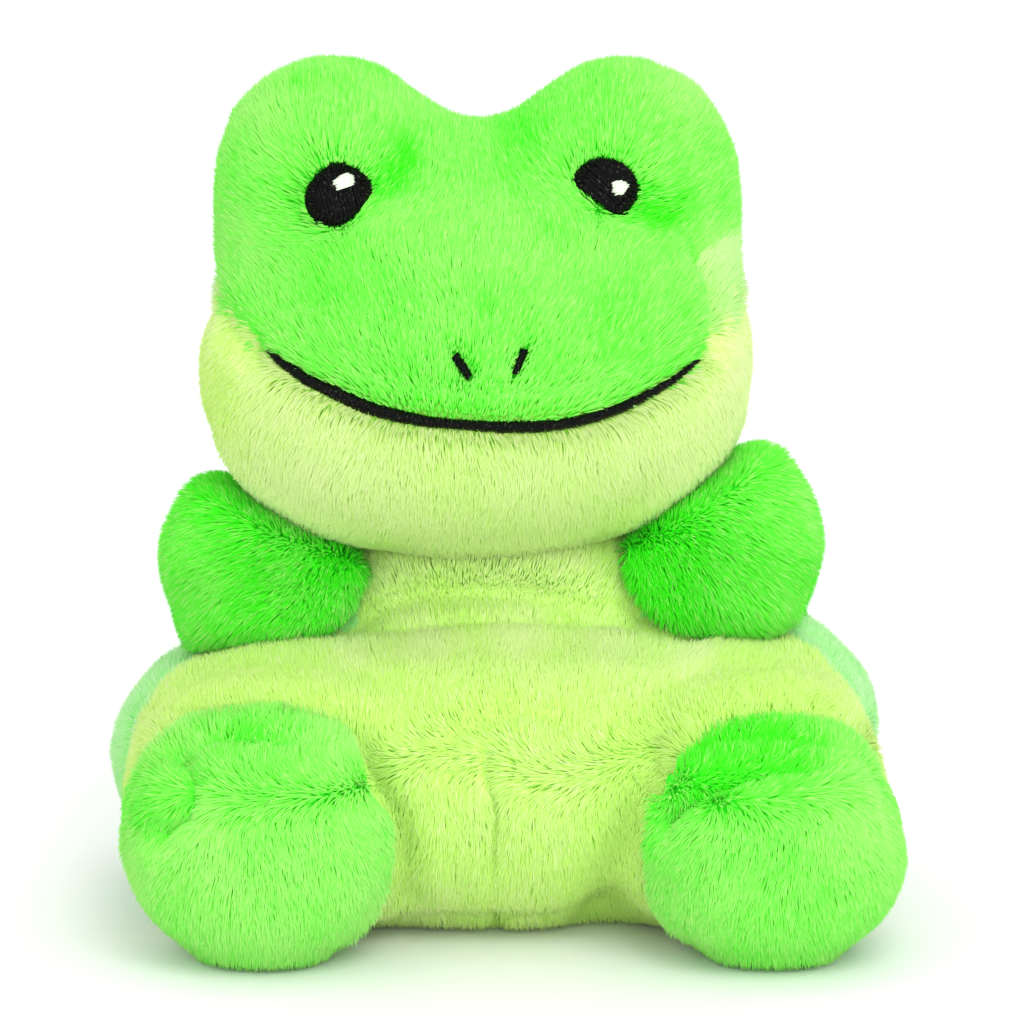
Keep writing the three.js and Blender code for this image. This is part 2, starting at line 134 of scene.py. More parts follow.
def new_material(name):
    """A material with only its output and a Principled shader."""
    material = bpy.data.materials.new(name)
    material.use_nodes = True
    material.node_tree.nodes.clear()
    shader = add_node(material, "ShaderNodeBsdfPrincipled")
    add_node(material, "ShaderNodeOutputMaterial", [("Surface", shader, "BSDF")])
    print("material", name)
    return material, shader


def grained(name, texture, output, inputs, stops, strength, height, **settings):
    """A soft matt stuff whose texture colours it and stands out as a bump of some height."""
    material, shader = new_material(name)
    place = add_node(material, "ShaderNodeTexCoord")
    grain = add_node(material, texture, [("Vector", place, "Object")], **settings)
    set_inputs(grain, inputs)
    ramp = add_ramp(material, grain, output, stops)
    bump = add_node(material, "ShaderNodeBump", [("Height", grain, output)])
    set_inputs(bump, {"Strength": strength, "Distance": height})
    link(material, ramp, "Color", shader, "Base Color")
    link(material, bump, "Normal", shader, "Normal")
    set_inputs(shader, {"Roughness": 0.9})
    return material


# %% [markdown]
# ## The stuffed forms
#
# Each part of the toy is a sewn bag, pulled tight over its filling. The CAD panels have the bag's
# size, so they are copied, joined and remeshed to an even net of small faces, drawn in by the depth
# of the pile, and blown up a little with Blender's Cloth and its pressure, with the seams pinned, as
# the seam's doubled cloth holds back what the filling pushes out. The toy is so small that the net
# is 2 mm wide. Where two parts press on each other, or the toy sits on the table, the pile is
# squashed flat between them, so the form is drawn in less there.

# %% Mesh helpers
def activate(obj):
    """Makes one object the only selected and active one."""
    bpy.ops.object.select_all(action="DESELECT")
    obj.select_set(True)
    bpy.context.view_layer.objects.active = obj


def edit_all(obj, operator, **settings):
    """Runs one edit-mode operator on the whole of a mesh."""
    activate(obj)
    bpy.ops.object.mode_set(mode="EDIT")
    bpy.ops.mesh.select_all(action="SELECT")
    operator(**settings)
    bpy.ops.object.mode_set(mode="OBJECT")


def apply_modifier(obj, kind, **settings):
    modifier = obj.modifiers.new(kind.title(), kind)
    for key, value in settings.items():
        setattr(modifier, key, value)
    activate(obj)
    bpy.ops.object.modifier_apply(modifier=modifier.name)


def smooth(obj, rounds):
    apply_modifier(obj, "SMOOTH", factor=0.5, iterations=rounds)


def copy_of(obj, name):
    copy = bpy.data.objects.new(name, obj.data.copy())
    bpy.context.scene.collection.objects.link(copy)
    return copy


def joined(objects, name):
    """Joins some objects into the first."""
    activate(objects[0])
    for obj in objects[1:]:
        obj.select_set(True)
    bpy.ops.object.join()
    objects[0].name = objects[0].data.name = name
    return objects[0]


def values_of(collection, attribute, width=3, kind=float):
    """An attribute of all the vertices, edges or triangles of a mesh, as an array."""
    values = np.zeros(len(collection) * width, kind)
    collection.foreach_get(attribute, values)
    return values.reshape(-1, width)


def points_of(obj):
    return values_of(obj.data.vertices, "co")


def normals_of(obj):
    return values_of(obj.data.vertex_normals, "vector")


def set_points(obj, points):
    obj.data.vertices.foreach_set("co", np.asarray(points, np.float32).ravel())
    obj.data.update()


def tree_of(obj):
    obj.data.calc_loop_triangles()
    triangles = [tuple(triangle.vertices) for triangle in obj.data.loop_triangles]
    return BVHTree.FromPolygons([v.co.copy() for v in obj.data.vertices], triangles, all_triangles=True)


def with_box(obj):
    """A form's tree, with the corners of its box."""
    points = points_of(obj)
    return tree_of(obj), (points.min(0), points.max(0))


def distance_to(trees, points, within):
    """The distance from each point to the nearest of some trees, up to a limit."""
    distance = np.full(len(points), within)
    for tree, (low, high) in trees:
        for index in np.nonzero(((points > low - within) & (points < high + within)).all(1))[0]:
            distance[index] = min(distance[index], tree.find_nearest(Vector(points[index]))[3])
    return distance


def set_group(obj, name, weights):
    group = obj.vertex_groups.new(name=name)
    for index, weight in enumerate(weights):
        if weight > 0.01:
            group.add([index], float(min(weight, 1)), "REPLACE")


def keep_largest_piece(obj):
    """Deletes the closed skins that the remesh leaves inside."""
    edit_all(obj, bpy.ops.mesh.separate, type="LOOSE")
    pieces = sorted(bpy.context.selected_objects, key=lambda piece: len(piece.data.vertices))
    for piece in pieces[:-1]:
        bpy.data.objects.remove(piece)
    return pieces[-1]


# %% Remesh, draw in and fill
NET = 2.0 * MM
PILE_DEPTH = 2.4 * MM
CLOTH_FRAMES, CLOTH_CAP, PRESSURE = 12, 0.8 * MM, 60
HELD_WITHIN = 3 * MM
FILLING_INSET = 1.8 * MM
# The pile is squashed to a share of its depth close to a neighbour, and is free further off. The table
# counts as being further off than it is, since it presses only from below.
SQUASHED_SHARE, SQUASHED_WITHIN, FREE_AFTER, LOOKED_FOR = 0.3, 3 * MM, 6 * MM, 9 * MM
TABLE_STRETCH = 2.5


def fill_with_pressure(obj, held):
    """Blows the form up with Cloth. held is a weight for each point: 1 stays where it is."""
    start = points_of(obj)
    set_group(obj, "held", held)
    cloth = obj.modifiers.new("Cloth", "CLOTH")
    cloth.settings.use_pressure = True
    cloth.settings.uniform_pressure_force = PRESSURE
    cloth.settings.vertex_group_mass = "held"
    cloth.settings.effector_weights.gravity = 0
    for number in range(1, CLOTH_FRAMES + 1):
        bpy.context.scene.frame_set(number)
    evaluated = obj.evaluated_get(bpy.context.evaluated_depsgraph_get())
    step = values_of(evaluated.data.vertices, "co") - start
    length = np.linalg.norm(step, axis=1)[:, None]
    obj.modifiers.remove(cloth)
    bpy.context.scene.frame_set(1)
    set_points(obj, start + step * np.minimum(1, CLOTH_CAP / np.maximum(length, 1e-9)))
    most, average = float(length.max()) / MM, float(length.mean()) / MM
    print(obj.name, f"swelled by up to {most:.2f} mm, on average {average:.2f} mm, before the cap")


def stuffed_form(part, nodes, neighbours, seam_distance):
    """The backing of one stuffed part, and its filling, as two closed forms."""
    copies = [copy_of(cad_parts[node], node + "_copy") for node in nodes]
    for copy in copies:
        copy.data.materials.clear()
    form = joined(copies, f"{part}_form")
    apply_modifier(form, "REMESH", mode="VOXEL", voxel_size=NET)
    form = keep_largest_piece(form)
    smooth(form, 12)
    points = points_of(form)
    clear = distance_to(neighbours, points, LOOKED_FOR)
    clear = np.minimum(clear, np.maximum(points[:, 2], 0) * TABLE_STRETCH)
    depth = np.clip((clear - SQUASHED_WITHIN) / FREE_AFTER, 0, 1) * (1 - SQUASHED_SHARE) + SQUASHED_SHARE
    set_group(form, "depth", depth)
    apply_modifier(form, "DISPLACE", strength=-PILE_DEPTH, mid_level=0, vertex_group="depth")
    smooth(form, 4)
    near = seam_distance(points_of(form))
    fill_with_pressure(form, np.clip(1 - near / HELD_WITHIN, 0, 1))
    form.vertex_groups.clear()
    filling = copy_of(form, f"{part}_filling")
    apply_modifier(filling, "DISPLACE", strength=-FILLING_INSET, mid_level=0)
    smooth(filling, 2)
    apply_modifier(form, "SUBSURF", levels=1, render_levels=1)
    print(part, "form has", len(form.data.polygons), "faces")
    return form, filling


# %% Seams of the toy
# The frames of the head, the arms and the feet, and their seams, are those of the solids.
def part_frame(place, turns=(0, 0, 0)):
    """A part's own frame, from its place in mm and its turns about X, Y and Z in degrees."""
    x, y, z = (math.radians(turn) for turn in turns)
    spin = Matrix.Rotation(x, 4, "X") @ Matrix.Rotation(y, 4, "Y") @ Matrix.Rotation(z, 4, "Z")
    return Matrix.Translation(Vector(place) * MM) @ spin


HEAD = part_frame((-4.255, 11.365, 57.5), (0, 0, 5))
LEFT_ARM = part_frame((15.745, 7.365, 52.5), (0, -4, -8))
RIGHT_ARM = part_frame((-20.255, 7.365, 51), (0, -1, 188))
LEFT_FOOT = part_frame((36.745, -13.635, 0), (0, 0, 4))
RIGHT_FOOT = part_frame((-33.255, -13.635, 0), (0, 0, -4))
TORSO = part_frame((-1.255, 9.365, 0))


def into(matrix, points):
    """World points in a part's own frame."""
    turned = np.array(matrix.inverted())
    return points @ turned[:3, :3].T + turned[:3, 3]


class Plane:
    """A flat seam: a point and a normal in a part's own frame, both in mm."""

    def __init__(self, part, point, normal):
        self.point = part @ (Vector(point) * MM)
        self.normal = (part.to_3x3() @ Vector(normal)).normalized()

    def height(self, points):
        """Signed distance of each point: positive is ahead of the seam."""
        return (points - np.array(self.point)) @ np.array(self.normal)


SIDE_SEAM = Plane(HEAD, (0, 3, 0), (0, -1, 0))
BELLY_SEAM = Plane(TORSO, (0, -31, 0), (0, -1, 0.6))
LEFT_ARM_SEAM = Plane(LEFT_ARM, (0, -2, 0), (0, -1, 0))
RIGHT_ARM_SEAM = Plane(RIGHT_ARM, (0, 2, 0), (0, 1, 0))
LEFT_FOOT_SEAM = Plane(LEFT_FOOT, (0, 1, 0), (0, -1, -0.7))
RIGHT_FOOT_SEAM = Plane(RIGHT_FOOT, (0, 1, 0), (0, -1, -0.7))
MOUTH_HEIGHT, MOUTH_RISE, SIDE_DEPTH, MOUTH_FRONT = 18.4 * MM, 16 * MM, 3 * MM, -36 * MM


def mouth_level(points):
    """How high the seam between face and chin runs at each point's place round the head."""
    local = into(HEAD, points)
    forward = np.clip((SIDE_DEPTH - local[:, 1]) / (SIDE_DEPTH - MOUTH_FRONT), 0, 1)
    return np.array(HEAD.translation)[2] + MOUTH_HEIGHT + MOUTH_RISE * (1 - forward**2)


def above_mouth(points):
    return points[:, 2] - mouth_level(points)


def head_seams(points):
    side = SIDE_SEAM.height(points)
    return np.minimum(np.abs(side), np.where(side > 0, np.abs(above_mouth(points)), 1.0))


def seam(plane):
    return lambda points: np.abs(plane.height(points))


# %% Stuff the six parts
PARTS = {
    "torso": (["belly_panel", "back_panel", "body_stuffing", "pellet_pouch"], seam(BELLY_SEAM)),
    "head": (["head_top_panel", "chin_panel", "head_back_panel", "head_stuffing"], head_seams),
}
LIMBS = {"left_arm": LEFT_ARM_SEAM, "right_arm": RIGHT_ARM_SEAM,
         "left_foot": LEFT_FOOT_SEAM, "right_foot": RIGHT_FOOT_SEAM}
LIMB_PIECES = {"arm": ("front_panel", "back_panel", "stuffing"),
               "foot": ("front_panel", "top_panel", "pellets")}
for limb, plane in LIMBS.items():
    PARTS[limb] = ([f"{limb}_{piece}" for piece in LIMB_PIECES[limb.split("_")[1]]], seam(plane))
solids = {part: [with_box(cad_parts[node]) for node in nodes if node.endswith("panel")]
          for part, (nodes, _) in PARTS.items()}
# The pellets sink, so the feet are slack on top: above this height they keep a share of theirs.
SLACK_FROM = 22 * MM
SLACK = {"left_foot": 0.86, "right_foot": 0.95}
# Bulges where the filling has shifted: part, middle, reach and push, all in mm.
BULGES = [
    ("head", (36, 0, 84), (16, 30, 16), (1.3, 0, 0)),
    ("torso", (-50, 6, 26), (16, 24, 12), (-2.0, 0, 0)),
    ("left_foot", (58, -24, 28), (12, 26, 9), (-2.4, 0, 0)),
    ("left_arm", (38, 5, 69), (9, 14, 8), (0.4, 0, 0.9)),
    ("head", (-26, 8, 121), (10, 16, 7), (-0.2, 0, 0.4)),
    ("left_arm", (44, 4, 43), (8, 14, 7), (-1.8, 0, 1.2)),
    ("right_arm", (-48, 4, 41), (8, 14, 7), (1.4, 0, 1.0)),
    ("head", (-43, 8, 91), (6, 20, 4), (1.2, 0, 0)),
    ("torso", (50, 8, 32), (10, 24, 5), (1.0, 0, 0)),
]
forms, fillings = {}, {}
for part, (nodes, seam_distance) in PARTS.items():
    others = [solid for other in PARTS if other != part for solid in solids[other]]
    forms[part], fillings[part] = stuffed_form(part, nodes, others, seam_distance)
    for obj in (forms[part], fillings[part]):
        points = points_of(obj)
        points[:, 2] -= np.maximum(points[:, 2] - SLACK_FROM, 0) * (1 - SLACK.get(part, 1))
        for bulged, middle, reach, push in BULGES:
            if bulged == part:
                away = np.linalg.norm((points / MM - middle) / np.array(reach), axis=1)
                points += np.array(push) * MM * np.exp(-(away**2))[:, None]
        set_points(obj, points)
    low, high = points_of(forms[part]).min(0) / MM, points_of(forms[part]).max(0) / MM
    print(part, "reaches from", low.round(1), "to", high.round(1), "mm")


# %% [markdown]
# ## Creases, dimples and folds
#
# A stuffed cover is drawn in wherever a seam or a hidden stitch holds it. These lines were measured
# in the picture and are thrown onto the form along the camera's rays. Around each one the form is
# pushed in along its normals, most at the line and less with distance, as a thumb presses clay.

# %% Throw pixels onto a form
def thrown(tree, pixels):
    """Where the rays of some pixels first meet a form."""
    hits = [tree.ray_cast(camera.location, pixel_ray(*pixel))[0] for pixel in pixels]
    return np.array([hit for hit in hits if hit is not None])


def polyline_distance(points, line):
    """The distance from each point to a line of several straight stretches."""
    best = np.full(len(points), 1e3)
    for a, b in zip(line[:-1], line[1:]):
        along = np.clip((points - a) @ (b - a) / max((b - a) @ (b - a), 1e-12), 0, 1)
        best = np.minimum(best, np.linalg.norm(points - (a + along[:, None] * (b - a)), axis=1))
    return best


def press_in(obj, distance, depth, width):
    """Pushes a form in near a line, by depth at the line, and gives back the share at each point."""
    share = np.exp(-((distance / width) ** 2))
    set_points(obj, points_of(obj) - normals_of(obj) * depth * share[:, None])
    return share


# %% Press in the creases
# Each crease: its part, its pixels, its depth and its width in mm.
CREASES = [
    ("right_foot", [(135, 859), (165, 824), (193, 807), (200, 785), (182, 759)], 2.4, 2.0),
    ("right_foot", [(208, 752), (245, 748), (284, 753)], 1.2, 1.8),
    ("left_foot", [(641, 859), (654, 839), (671, 813), (706, 788), (749, 777), (806, 770)], 2.6, 2.2),
    ("left_foot", [(700, 755), (760, 746), (820, 752)], 1.0, 1.8),
    ("torso", [(466, 738), (498, 726), (530, 722), (557, 735)], 1.4, 1.8),
    ("torso", [(496, 752), (496, 800), (495, 850), (495, 912)], 1.4, 1.1),
    ("torso", [(330, 641), (380, 618), (430, 601), (520, 604), (640, 622)], 1.8, 2.8),
    ("torso", [(345, 650), (430, 635), (520, 631), (620, 636), (690, 650)], 1.4, 1.6),
    ("torso", [(652, 740), (640, 790), (622, 850), (600, 905)], 3.2, 4.0),
    ("torso", [(339, 738), (373, 761), (392, 795), (404, 835), (408, 890)], 1.8, 2.8),
    ("head", [(378, 196), (392, 186), (404, 172)], 1.8, 3.0),
    ("head", [(640, 214), (650, 222), (664, 226)], 1.4, 3.0),
    ("head", [(214, 303), (235, 320), (267, 351)], 0.9, 1.6),
    ("head", [(697, 362), (705, 330), (700, 290), (684, 258)], 0.9, 1.8),
]
shortened = {part: np.zeros(len(form.data.vertices)) for part, form in forms.items()}
for part, pixels, depth, width in CREASES:
    line = thrown(tree_of(forms[part]), pixels)
    if len(line) < 2:
        print("a crease misses", part, pixels[0])
        continue
    near = polyline_distance(points_of(forms[part]), line)
    shortened[part] = np.maximum(shortened[part], press_in(forms[part], near, depth * MM, width * MM))
print("pressed in", len(CREASES), "creases")

SEAM_DEPTH, SEAM_WIDTH = 0.7 * MM, 1.4 * MM
for part, (_, seam_distance) in PARTS.items():
    press_in(forms[part], seam_distance(points_of(forms[part])), SEAM_DEPTH, SEAM_WIDTH)
trees = {part: tree_of(form) for part, form in forms.items()}


def keep_under(obj, tree, depth):
    """Moves the points of a filling in until they lie deep enough under the form's skin."""
    points = points_of(obj)
    for index, point in enumerate(points):
        place, normal, _, _ = tree.find_nearest(Vector(point))
        if (place - Vector(point)).dot(normal) < depth:
            points[index] = place - normal * depth
    set_points(obj, points)


for part, filling_form in fillings.items():
    for _ in range(2):
        smooth(filling_form, 1)
        keep_under(filling_form, trees[part], FILLING_INSET)

# %% [markdown]
# ## The face's outlines
#
# The eyes, the nostrils and the mouth are embroidered. Their outlines come from the picture in
# pixels, and serve twice: the threads are laid inside them, and no pile grows through them.

# %% Outlines of the embroidery
RIGHT_EYE = [
    (340, 163), (347.5, 165), (357.5, 169), (364, 175), (370, 181), (372, 190), (370, 196), (365, 202),
    (360, 209), (354, 216), (346, 222.5), (337.5, 225.5), (327.5, 226), (317.5, 224), (311, 217.5),
    (307.5, 210), (305, 200), (306, 191), (310, 184), (315, 176), (322.5, 169.5), (331, 164.5),
]
LEFT_EYE = [
    (601, 158), (610, 159), (619, 162), (627, 167.5), (634, 175), (637.5, 184), (638, 191), (635.5, 200),
    (631, 207.5), (625, 214), (616, 214.5), (609, 210), (600, 203), (591, 196.5), (581, 189.5), (574, 186),
    (572, 181), (574.5, 174), (580, 167), (589, 160.5), (595, 159),
]
RIGHT_GLINT = [
    (332.5, 181.5), (340, 175.5), (349, 173.5), (352.5, 175.5), (354.5, 181.5), (351, 186.5), (346, 188),
    (336, 190), (334, 186),
]
LEFT_GLINT = [
    (611, 183), (616, 181), (621, 180.5), (626, 182.5), (628, 186.5), (625.5, 191.5), (621, 195),
    (615, 194.5), (612, 190.5),
]
# Nostrils and mouth are lines: across, down and width in pixels.
RIGHT_NOSTRIL = [(455, 356, 8.5), (462, 367, 9.5), (469, 377, 8)]
LEFT_NOSTRIL = [(524.5, 350, 8), (519.5, 363, 8), (514.5, 375, 6)]
MOUTH = [
    (266.5, 350.5, 1.7), (272, 354, 5.1), (278, 360, 6.8), (290, 368, 9.1), (307, 380, 10.8),
    (327, 389, 12.5), (348, 399, 13.1), (368, 407.5, 13.1), (390, 414, 12.5), (418, 420, 11.4),
    (440, 423, 9.7), (460, 424.5, 9.7), (480, 426, 10.3), (500, 427, 10.8), (520, 427, 11.4),
    (538, 426.5, 11.4), (560, 424.5, 10.3), (580, 421, 10.3), (600, 415.5, 10.3), (620, 408.5, 9.7),
    (640, 399, 9.1), (656, 390, 8), (672, 381, 6.8), (684, 371.5, 5.7), (694, 364, 5.1), (699.5, 359, 2.3),
]


def to_pixel(points):
    """The pixels at which the camera sees some points."""
    offset = points - np.array(camera.location)
    depth = offset @ np.array(FORWARD)
    across = PICTURE / 2 + FOCAL_PIXELS * (offset @ np.array(RIGHT)) / depth
    return np.column_stack([across, PICTURE / 2 - FOCAL_PIXELS * (offset @ np.array(UP)) / depth])


def inside_outline(pixels, outline, grow=1.0):
    """Which pixels lie inside an outline, made larger about its middle."""
    outline = np.array(outline)
    middle = outline.mean(0)
    outline = middle + (outline - middle) * grow
    inside = np.zeros(len(pixels), bool)
    for (ax, ay), (bx, by) in zip(outline, np.roll(outline, -1, 0)):
        if ay == by:
            continue
        crosses = (ay > pixels[:, 1]) != (by > pixels[:, 1])
        inside ^= crosses & (pixels[:, 0] < ax + (pixels[:, 1] - ay) * (bx - ax) / (by - ay))
    return inside


def near_line(pixels, line, grow):
    """Which pixels lie within half the width of a line, plus some more."""
    line, inside = np.array(line, float), np.zeros(len(pixels), bool)
    for a, b in zip(line[:-1], line[1:]):
        step = b[:2] - a[:2]
        along = np.clip((pixels - a[:2]) @ step / (step @ step), 0, 1)
        gap = np.linalg.norm(pixels - (a[:2] + along[:, None] * step), axis=1)
        inside |= gap < (a[2] + along * (b[2] - a[2])) / 2 + grow
    return inside


FACE_BACK = 4 * MM
EYE_RADIUS = 33  # in pixels


def embroidered(points, grow):
    """Which points of the head lie where the face is embroidered, with grow more pixels round it."""
    found = np.zeros(len(points), bool)
    front = np.nonzero(points[:, 1] < FACE_BACK)[0]
    pixels, hit = to_pixel(points)[front], np.zeros(len(front), bool)
    for outline in (RIGHT_EYE, LEFT_EYE):
        hit |= inside_outline(pixels, outline, 1 + grow / EYE_RADIUS)
    for line in (RIGHT_NOSTRIL, LEFT_NOSTRIL, MOUTH):
        hit |= near_line(pixels, line, grow)
    found[front] = hit
    return found


# %% [markdown]
# ## Where the pile lies
#
# Plush is brushed while it is finished, and handled ever since, so its pile leans away from a few
# partings. Each point of a form gets the way its pile leans, the room that its neighbours leave, and
# a tone, and the strands planted between the points take what lies between these values.

# %% Directions of the pile
def unit(vectors):
    return vectors / np.maximum(np.linalg.norm(vectors, axis=-1, keepdims=True), 1e-9)


def seeded(number):
    return np.random.default_rng(number)


WAVES, WAVE_SPAN = 7, 3.2


def wave(points, seed, size):
    """Smooth noise from a few crossed waves, about -1 to 1, size in metres."""
    random = seeded(seed)
    total = np.zeros(len(points))
    for _ in range(WAVES):
        direction = unit(random.normal(size=3)) * (2 * math.pi / (size * random.uniform(0.7, 1.6)))
        total += np.sin(points @ direction + random.uniform(0, 6.28))
    return total / WAVE_SPAN


def away_from(points, source):
    return unit(points - np.array(source))


def fading(points, middle, reach):
    """A share that is 1 at a middle and fades with distance, to a third at the reach."""
    return np.exp(-(np.linalg.norm(points - middle, axis=1) / reach) ** 2)


def spot(part, pixel):
    """A pixel's place on a form."""
    return thrown(trees[part], [pixel])[0]


# Pixels: the middles of the eyes, where the belly's nap turns, and how soon the mouth's ends fade out.
EYE_MIDDLES = [(338, 195), (605, 186)]
TURN_LOW, TURN_HIGH = (498, 800), (498, 732)
LIP_FADE = 12
EYE_COMBED, LIP_TURN = 10 * MM, 1.5 * MM
# How wide the nap fans out, and the heights between which that of the feet turns over, round a middle.
HEAD_FAN, TORSO_FAN, FOOT_FAN = 30 * MM, 40 * MM, 20 * MM
FOOT_TURN_LOW, FOOT_TURN_HIGH, FOOT_MIDDLE_UP = 24 * MM, 30 * MM, 20 * MM
DOWN, ASIDE = np.array([0, 0, -1.0]), np.array([1.0, 0, 0])
UP_AND_BACK = np.array([0, 0.6, 1.0])


def fan(points, middle, width):
    """Sideways, the more so the further a point is from the middle."""
    return np.clip((points[:, :1] - middle) / width, -1, 1) * ASIDE


def turning(points, low, high, middle, way):
    """Down under one height, up and back over another, and round a middle in between: way is 1 or -1."""
    turn = math.pi * np.clip((points[:, 2:3] - low) / (high - low), 0, 1)
    front = np.where(turn < math.pi / 2, DOWN, UP_AND_BACK)
    return np.abs(np.cos(turn)) * front + way * np.sin(turn) * unit(np.cross(-DOWN, points - middle))


def above_lips(points):
    """The height over the seam of face and chin, which the mouth's own line sets between its ends."""
    pixels, line = to_pixel(points), np.array(MOUTH)
    over = (np.interp(pixels[:, 0], line[:, 0], line[:, 1]) - pixels[:, 1]) * DISTANCE / FOCAL_PIXELS
    along = np.minimum(pixels[:, 0] - line[0, 0], line[-1, 0] - pixels[:, 0])
    share = np.clip(along / LIP_FADE, 0, 1) * (points[:, 1] < 0)
    return share * over + (1 - share) * above_mouth(points)


def comb_head(points):
    """The nap of the face panel runs up and over the head, that of the chin and the back down."""
    behind = np.clip((points[:, 1:2] - 8 * MM) / (10 * MM), 0, 1)
    face = np.clip(0.5 + above_lips(points) / LIP_TURN, 0, 1)[:, None]
    front = face * UP_AND_BACK + (1 - face) * DOWN + 0.4 * fan(points, HEAD.translation[0], HEAD_FAN)
    comb = (1 - behind) * front + behind * DOWN
    for pixel in EYE_MIDDLES:
        eye = spot("head", pixel)
        comb = comb + 2.0 * fading(points, eye, EYE_COMBED)[:, None] * away_from(points, eye)
    return comb


def comb_torso(points):
    """Down the belly and up over the lap, with a wavy turn between the feet, and down the back."""
    behind = np.clip(points[:, 1:2] / (20 * MM), 0, 1)
    low, high = spot("torso", TURN_LOW)[2], spot("torso", TURN_HIGH)[2]
    shift = 2.5 * MM * wave(points * (1, 1, 0), 76, 24 * MM)[:, None]
    aside = fan(points, TORSO.translation[0], TORSO_FAN)
    front = turning(points, low + shift, high + shift, np.array(TORSO.translation), -1)
    return (1 - behind) * (front + 0.3 * aside) + behind * (DOWN + 0.3 * aside)


def comb_arm(shoulder):
    """Away from the shoulder, and down."""
    return lambda points: away_from(points, shoulder) + 0.5 * DOWN


def comb_foot(place, way):
    """Down the front of a foot, and up over its top."""
    middle = np.array(place) + (0, 0, FOOT_MIDDLE_UP)
    return lambda points: (turning(points, FOOT_TURN_LOW, FOOT_TURN_HIGH, middle, way)
                           + 0.25 * fan(points, middle[0], FOOT_FAN))


COMBS = {
    "torso": comb_torso,
    "head": comb_head,
    "left_arm": comb_arm(LEFT_ARM.translation),
    "right_arm": comb_arm(RIGHT_ARM.translation),
    "left_foot": comb_foot(LEFT_FOOT.translation, 1),
    "right_foot": comb_foot(RIGHT_FOOT.translation, -1),
}
# How far the pile of each part leans over from its normal, in degrees.
LEANS = {"torso": 56, "head": 54, "left_arm": 36, "right_arm": 36, "left_foot": 54, "right_foot": 54}


def smoothed(obj, values, rounds):
    """Averages values with those of the neighbouring points."""
    a, b = values_of(obj.data.edges, "vertices", 2, np.int32).T
    count = np.bincount(a, minlength=len(values)) + np.bincount(b, minlength=len(values))
    for _ in range(rounds):
        total = np.zeros_like(values)
        np.add.at(total, a, values[b])
        np.add.at(total, b, values[a])
        values = 0.4 * values + 0.6 * total / np.maximum(count, 1).reshape(-1, *[1] * (values.ndim - 1))
    return values


ROOM_LOOKED_FOR, NEARBY = 10 * MM, 2 * MM
skins = {part: with_box(form) for part, form in forms.items()}
nap = {}
for part, form in forms.items():
    points, normals = points_of(form), smoothed(form, normals_of(form), 2)
    comb = smoothed(form, COMBS[part](points), 6)
    comb = smoothed(form, comb - normals * (comb * normals).sum(1)[:, None], 6)
    combed = np.clip(np.linalg.norm(comb, axis=1) / 0.5, 0.6, 1)
    room = distance_to([skins[other] for other in PARTS if other != part], points, ROOM_LOOKED_FOR)
    nap[part] = {"comb": unit(comb), "room": smoothed(form, room, 2), "short": shortened[part],
                 "normal": unit(normals), "combed": combed}
    print(part, "has a neighbour nearby at", int((room < NEARBY).sum()), "points of", len(points))

# %% [markdown]
# ## The pile
#
# Real plush has tens of hairs to a square millimetre, too fine to see one by one. What the eye sees
# is their tips, in wisps. Each strand here stands for a few hairs: a slim closed blade of four
# triangles, pointed at its root and its tip and widest near its middle, which arches over the way that
# the pile was brushed. A strand carries its place along the hair and its tone in a UV map, so one
# material can colour it from root to tip, and its normals follow the form underneath, so that the pile
# is shaded as one soft surface.

# %% Plant the strands
LENGTH, WIDTH = 3.4 * MM, 0.21 * MM
# Strands per square millimetre. They are finer and closer on what faces the front.
CLOSE, SPARSE = 15.5, 4.1
CLOSE_BEFORE, FINE_BEFORE, BACK_WIDER = 15 * MM, 12 * MM, 1.5


def crowded(points, normals):
    return np.where((normals @ np.array(FORWARD) < 0.1) & (points[:, 1] < CLOSE_BEFORE), CLOSE, SPARSE)


def breadth(points):
    return np.where(points[:, 1] < FINE_BEFORE, WIDTH, BACK_WIDER * WIDTH)


def scatter(part, choose, seed):
    """Random places on a form: the three corners of each one's triangle and their shares."""
    mesh, random = forms[part].data, seeded(seed)
    mesh.calc_loop_triangles()
    corners = values_of(mesh.loop_triangles, "vertices", 3, np.int32)
    points, normals = points_of(forms[part]), normals_of(forms[part])
    corners = corners[choose(points[corners].mean(1))]
    one, two, three = (points[corners[:, k]] for k in range(3))
    area = np.linalg.norm(np.cross(two - one, three - one), axis=1) / 2
    wanted = crowded(points[corners].mean(1), normals[corners].mean(1)) * area / MM**2
    picked = random.choice(len(corners), int(wanted.sum()), p=wanted / wanted.sum())
    share = random.random((len(picked), 2))
    share = np.where(share.sum(1)[:, None] > 1, 1 - share, share)
    return corners[picked], np.column_stack([1 - share.sum(1), share])


WISP, BURIED = 0.8 * MM, 0.35 * MM
# A strand's reach: over the pile's depth, into the room that a neighbour leaves, and its limits.
OVER_PILE, ROOM_SHARE, ROOM_OVER = 0.3 * MM, 0.9, 0.6 * MM
SHORTEST, LONGEST = 0.5 * MM, 1.2 * LENGTH
# How far strands stray from their neighbours: turns in radians, tilts in degrees, lengths as shares.
SWIRL_WAVE, SWIRL_STRAY = 0.25, 0.15
TILT_WAVE, TILT_STRAY, TILT_DOWNHILL = 3, 3, 16
LENGTH_STRAY, WISP_PULL = 0.06, 0.18
# What creases do to a strand's length and, as painted shade, to its tone, and what bleaching does to tone.
CREASED_SHORTER, CREASE_PAINTED_SHADE = 0.4, 0.35
BLEACHED, BLEACHED_PALER = 0.13, 0.6
TONE_STRAY, WISP_TONE = 0.08, 0.16
# A blade's waist and arch as shares of its length, how low it may hang over the table, and the share
# of strands that may lie over a thread.
WAIST, ARCH = 0.42, 0.05
LOWEST, LOWEST_TIP = 0.1 * MM, 0.15 * MM
OVER_THREADS = 0.05
